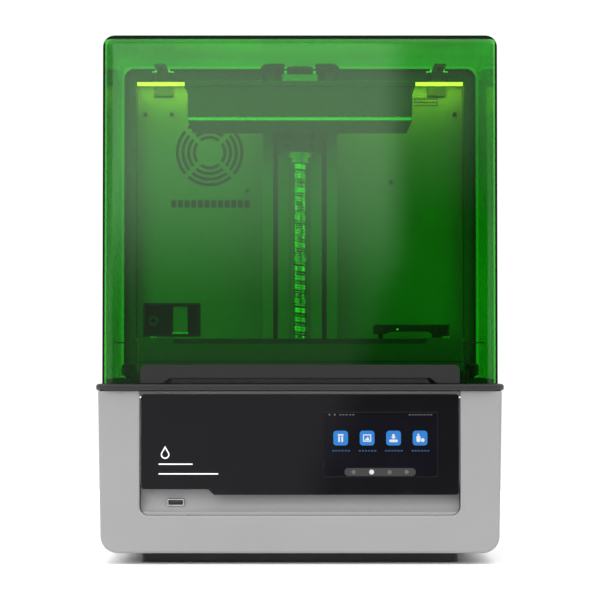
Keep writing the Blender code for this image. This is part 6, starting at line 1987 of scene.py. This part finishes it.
# ---- inside the base
@dataclass
class Electronics(Assembly):
    """Light engine, boards, supply and fans."""

    def build(self) -> None:
        """Dress the hidden nodes and add their small parts."""
        black, trim = self.finish.black, self.finish.trim
        self.dress(black, "light_box", "led_fan_frame", "base_fan_frame")
        self.dress(trim, "led_fan_rotor", "base_fan_rotor")
        self.dress(self.finish.lens, "collimator_lens")
        self.dress(self.finish.board, "uv_led_board", "mainboard")
        self.dress(self.finish.blasted, "heat_sink", "power_supply")
        board = Spans.of("uv_led_board")
        chip = prism("led", rounded(about(board.x[0] + 12 * MM, 1.7 * MM),
                                    about(board.y[0] + 12 * MM, 1.7 * MM), 0.4 * MM, 2),
                     board.z[1] - 0.1 * MM, board.z[1] + 0.9 * MM, Axis.Z)
        leds = rows_of("led_array", chip, 12, (18.5 * MM, 0.0, 0.0),
                       self.finish.mark, 7, (0.0, 17 * MM, 0.0))
        self.show(leds, self.finish.mark, "base", Slot.LENS)
        main = Spans.of("mainboard")
        chips = [prism("chip", rounded(about(main.x[0] + x * MM, w * MM), about(y * MM, d * MM),
                                       0.5 * MM, 2), main.z[1] - 0.1 * MM, main.z[1] + h * MM, Axis.Z)
                 for x, y, w, d, h in ((12, -80, 7, 7, 1.6), (30, -82, 5, 9, 1.4), (14, -50, 5, 5, 1.5),
                                       (32, -45, 4, 6, 2), (12, -12, 6, 4, 1.8), (30, -5, 7, 7, 1.6),
                                       (14, 30, 5, 8, 1.5), (32, 40, 4, 4, 3), (22, 70, 9, 5, 4))]
        self.show(soften(merged("board_chips", chips), 0.2 * MM, 2), self.finish.chip, "base", Slot.CIRCUIT)
        can = turned("can", [(0.0, 0.0), (3.2 * MM, 0.0), (3.2 * MM, 7.4 * MM), (2.8 * MM, 8 * MM),
                             (0.0, 8 * MM)], (main.x[0] + 8 * MM, -28 * MM, main.z[1] - 0.1 * MM),
                     Axis.Z, 20)
        cans = rows_of("board_capacitors", can, 4, (9 * MM, 0.0, 0.0), self.finish.blasted)
        self.show(soften(cans, 0.0), self.finish.blasted, "base", Slot.ALUMINIUM)
        supply = Spans.of("power_supply")
        pit = turned("pit", [(0.0, 0.0), (2.0 * MM, 0.0), (2.0 * MM, 0.25 * MM), (0.0, 0.25 * MM)],
                     (supply.x[0] + 9 * MM, supply.y[0] + 12 * MM, supply.z[1] - 0.1 * MM), Axis.Z, 10)
        pits = rows_of("supply_perforation", pit, 5, (8 * MM, 0.0, 0.0),
                       self.finish.chip, 22, (0.0, 8.5 * MM, 0.0))
        self.show(pits, self.finish.chip, "base", Slot.TRIM)


# ---- studio
@dataclass
class Studio:
    """Pale floor, soft light and the camera."""

    distance: float = 2.326
    height: float = 0.200
    aim: float = 0.0588
    reach: float = 2.156
    lens: float = 132.0
    card_edge: float = 0.027
    card_slope: float = 0.36
    card_reach: float = 0.017
    surround: float = 0.9
    floor_radius: float = 1.1

    def build(self) -> None:
        """Set up everything round the printer."""
        self.build_camera()
        self.build_world()
        self.build_floor()
        self.build_lights()

    def build_camera(self) -> None:
        """A long lens in front of the printer, tipped up a little."""
        data = bpy.data.cameras.new("front_camera")
        data.lens = self.lens
        data.sensor_width = 36.0
        data.clip_start = 0.05
        camera = bpy.data.objects.new("front_camera", data)
        bpy.context.scene.collection.objects.link(camera)
        camera.location = (0.0, -self.distance, self.height)
        camera.rotation_euler = (math.pi / 2 + math.atan2(self.aim, self.reach), 0.0, 0.0)
        bpy.context.scene.camera = camera
        bpy.context.scene.view_settings.view_transform = "Standard"

    def build_world(self) -> None:
        """White surroundings that darken straight in front of the printer."""
        world = bpy.data.worlds.new("studio_world")
        world.use_nodes = True
        bpy.context.scene.world = world
        sheet = Sheet(world.node_tree)
        background = world.node_tree.nodes["Background"]
        way = sheet.add("ShaderNodeTexCoord").outputs["Generated"]
        split = sheet.add("ShaderNodeSeparateXYZ", {0: way})
        ahead = sheet.math("MULTIPLY", split.outputs["Y"], -1.0)
        aside = sheet.math("DIVIDE", split.outputs["X"], ahead)
        above = sheet.math("DIVIDE", split.outputs["Z"], ahead)
        lean = sheet.math("MULTIPLY", above, self.card_slope)
        held = sheet.math("MINIMUM", lean, self.card_reach)
        slope = sheet.math("SUBTRACT", aside, held)
        card = self.step(sheet, slope, self.card_edge + 0.009, self.card_edge - 0.009, 0.0, 1.0)
        lit = self.step(sheet, above, 0.02, 0.10, 0.33, 2.3)
        unlit = self.step(sheet, above, 0.06, 0.125, 0.06, 0.8)
        patch = sheet.add("ShaderNodeMix", {"Factor": card, "A": unlit, "B": lit},
                          data_type="FLOAT").outputs["Result"]
        aimed = self.step(sheet, ahead, 0.80, 0.96, 0.0, 1.0)
        high = self.step(sheet, above, 0.7, 1.0, self.surround, 2.1)
        front = sheet.add("ShaderNodeMix", {"Factor": aimed, "A": high, "B": patch}, data_type="FLOAT")
        seen = sheet.add("ShaderNodeLightPath").outputs["Is Camera Ray"]
        both_ways = sheet.add("ShaderNodeMix",
                              {"Factor": seen, "A": front.outputs["Result"]}, data_type="FLOAT")
        both_ways.inputs["B"].default_value = 1.05
        sheet.feed(background, Strength=both_ways.outputs["Result"])
        background.inputs["Color"].default_value = (1.0, 1.0, 1.0, 1.0)

    def step(self, sheet: Sheet, source: Socket, start: float, end: float, low: float,
             high: float) -> Socket:
        """A smooth step from low at start to high at end."""
        node = sheet.add("ShaderNodeMapRange", {"Value": source, "From Min": start, "From Max": end,
                                                "To Min": low, "To Max": high},
                         interpolation_type="SMOOTHSTEP")
        return node.outputs["Result"]

    def build_floor(self) -> None:
        """A round pale floor."""
        floor = prism("floor", circle(0.0, 0.0, self.floor_radius, 96), -0.02, -0.0002, Axis.Z)
        made, sheet, shader, place = new_material("studio_floor")
        shader.inputs["Base Color"].default_value = (0.93, 0.93, 0.93, 1.0)
        sheet.feed(shader, Roughness=sheet.spread(sheet.noise(place, 3.0), 0.55, 0.65))
        floor.data.materials.append(made)
        floor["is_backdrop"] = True

    def lamp(self, name: str, spot: Colour, target: Colour, size: Pair, watts: float,
             colour: Colour = (1.0, 1.0, 1.0)) -> None:
        """Add a soft rectangular lamp.

        Args:
            name: the lamp's name.
            spot: where it stands.
            target: where it points.
            size: its width and height.
            watts: its power.
            colour: its light's colour.
        """
        data = bpy.data.lights.new(name, "AREA")
        data.shape = "RECTANGLE"
        data.size, data.size_y = size
        data.energy = watts
        data.color = colour
        lamp = bpy.data.objects.new(name, data)
        bpy.context.scene.collection.objects.link(lamp)
        lamp.location = spot
        lamp.rotation_euler = (Vector(target) - Vector(spot)).to_track_quat("-Z", "Y").to_euler()
        lamp.visible_camera = False
        lamp.visible_glossy = False

    def build_lights(self) -> None:
        """Key from the left, fill from the right, and one overhead."""
        self.lamp("key_left", (-1.7, -1.9, 1.3), (0.0, 0.0, 0.2), (1.2, 1.2), 34.0)
        self.lamp("fill_right", (1.9, -1.7, 0.9), (0.0, 0.0, 0.2), (1.0, 1.4), 12.0)
        self.lamp("overhead", (0.0, -0.2, 2.4), (0.0, 0.0, 0.0), (2.2, 2.0), 30.0)
        strip = Spans.of("led_bar")
        x, y, z = strip.middle
        self.lamp("strip_spill", (x, y - 6 * MM, strip.z[0] - MM), (x, y + 4 * MM, z - 40 * MM),
                  (2 * strip.x[1], 4 * MM), 0.8, (1.0, 0.22, 0.04))


def main() -> list[float]:
    """Build the studio and every sub-assembly.

    Returns:
        The CAD model's box, low corner then high corner.
    """
    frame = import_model()
    cad_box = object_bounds()
    Studio().build()
    finish = Finishes()
    for kind in (Electronics, BaseHousing, ControlPanel, Chamber, ZAxis, Platform, Vat, FeedArm, Lid):
        kind(frame["nodes"], finish).build()
        LOG.info("finished %s", kind.__name__)
    return cad_box


if __name__ == "__main__":
    logging.basicConfig(level=logging.INFO, format="%(name)s: %(message)s")
    cad = main()
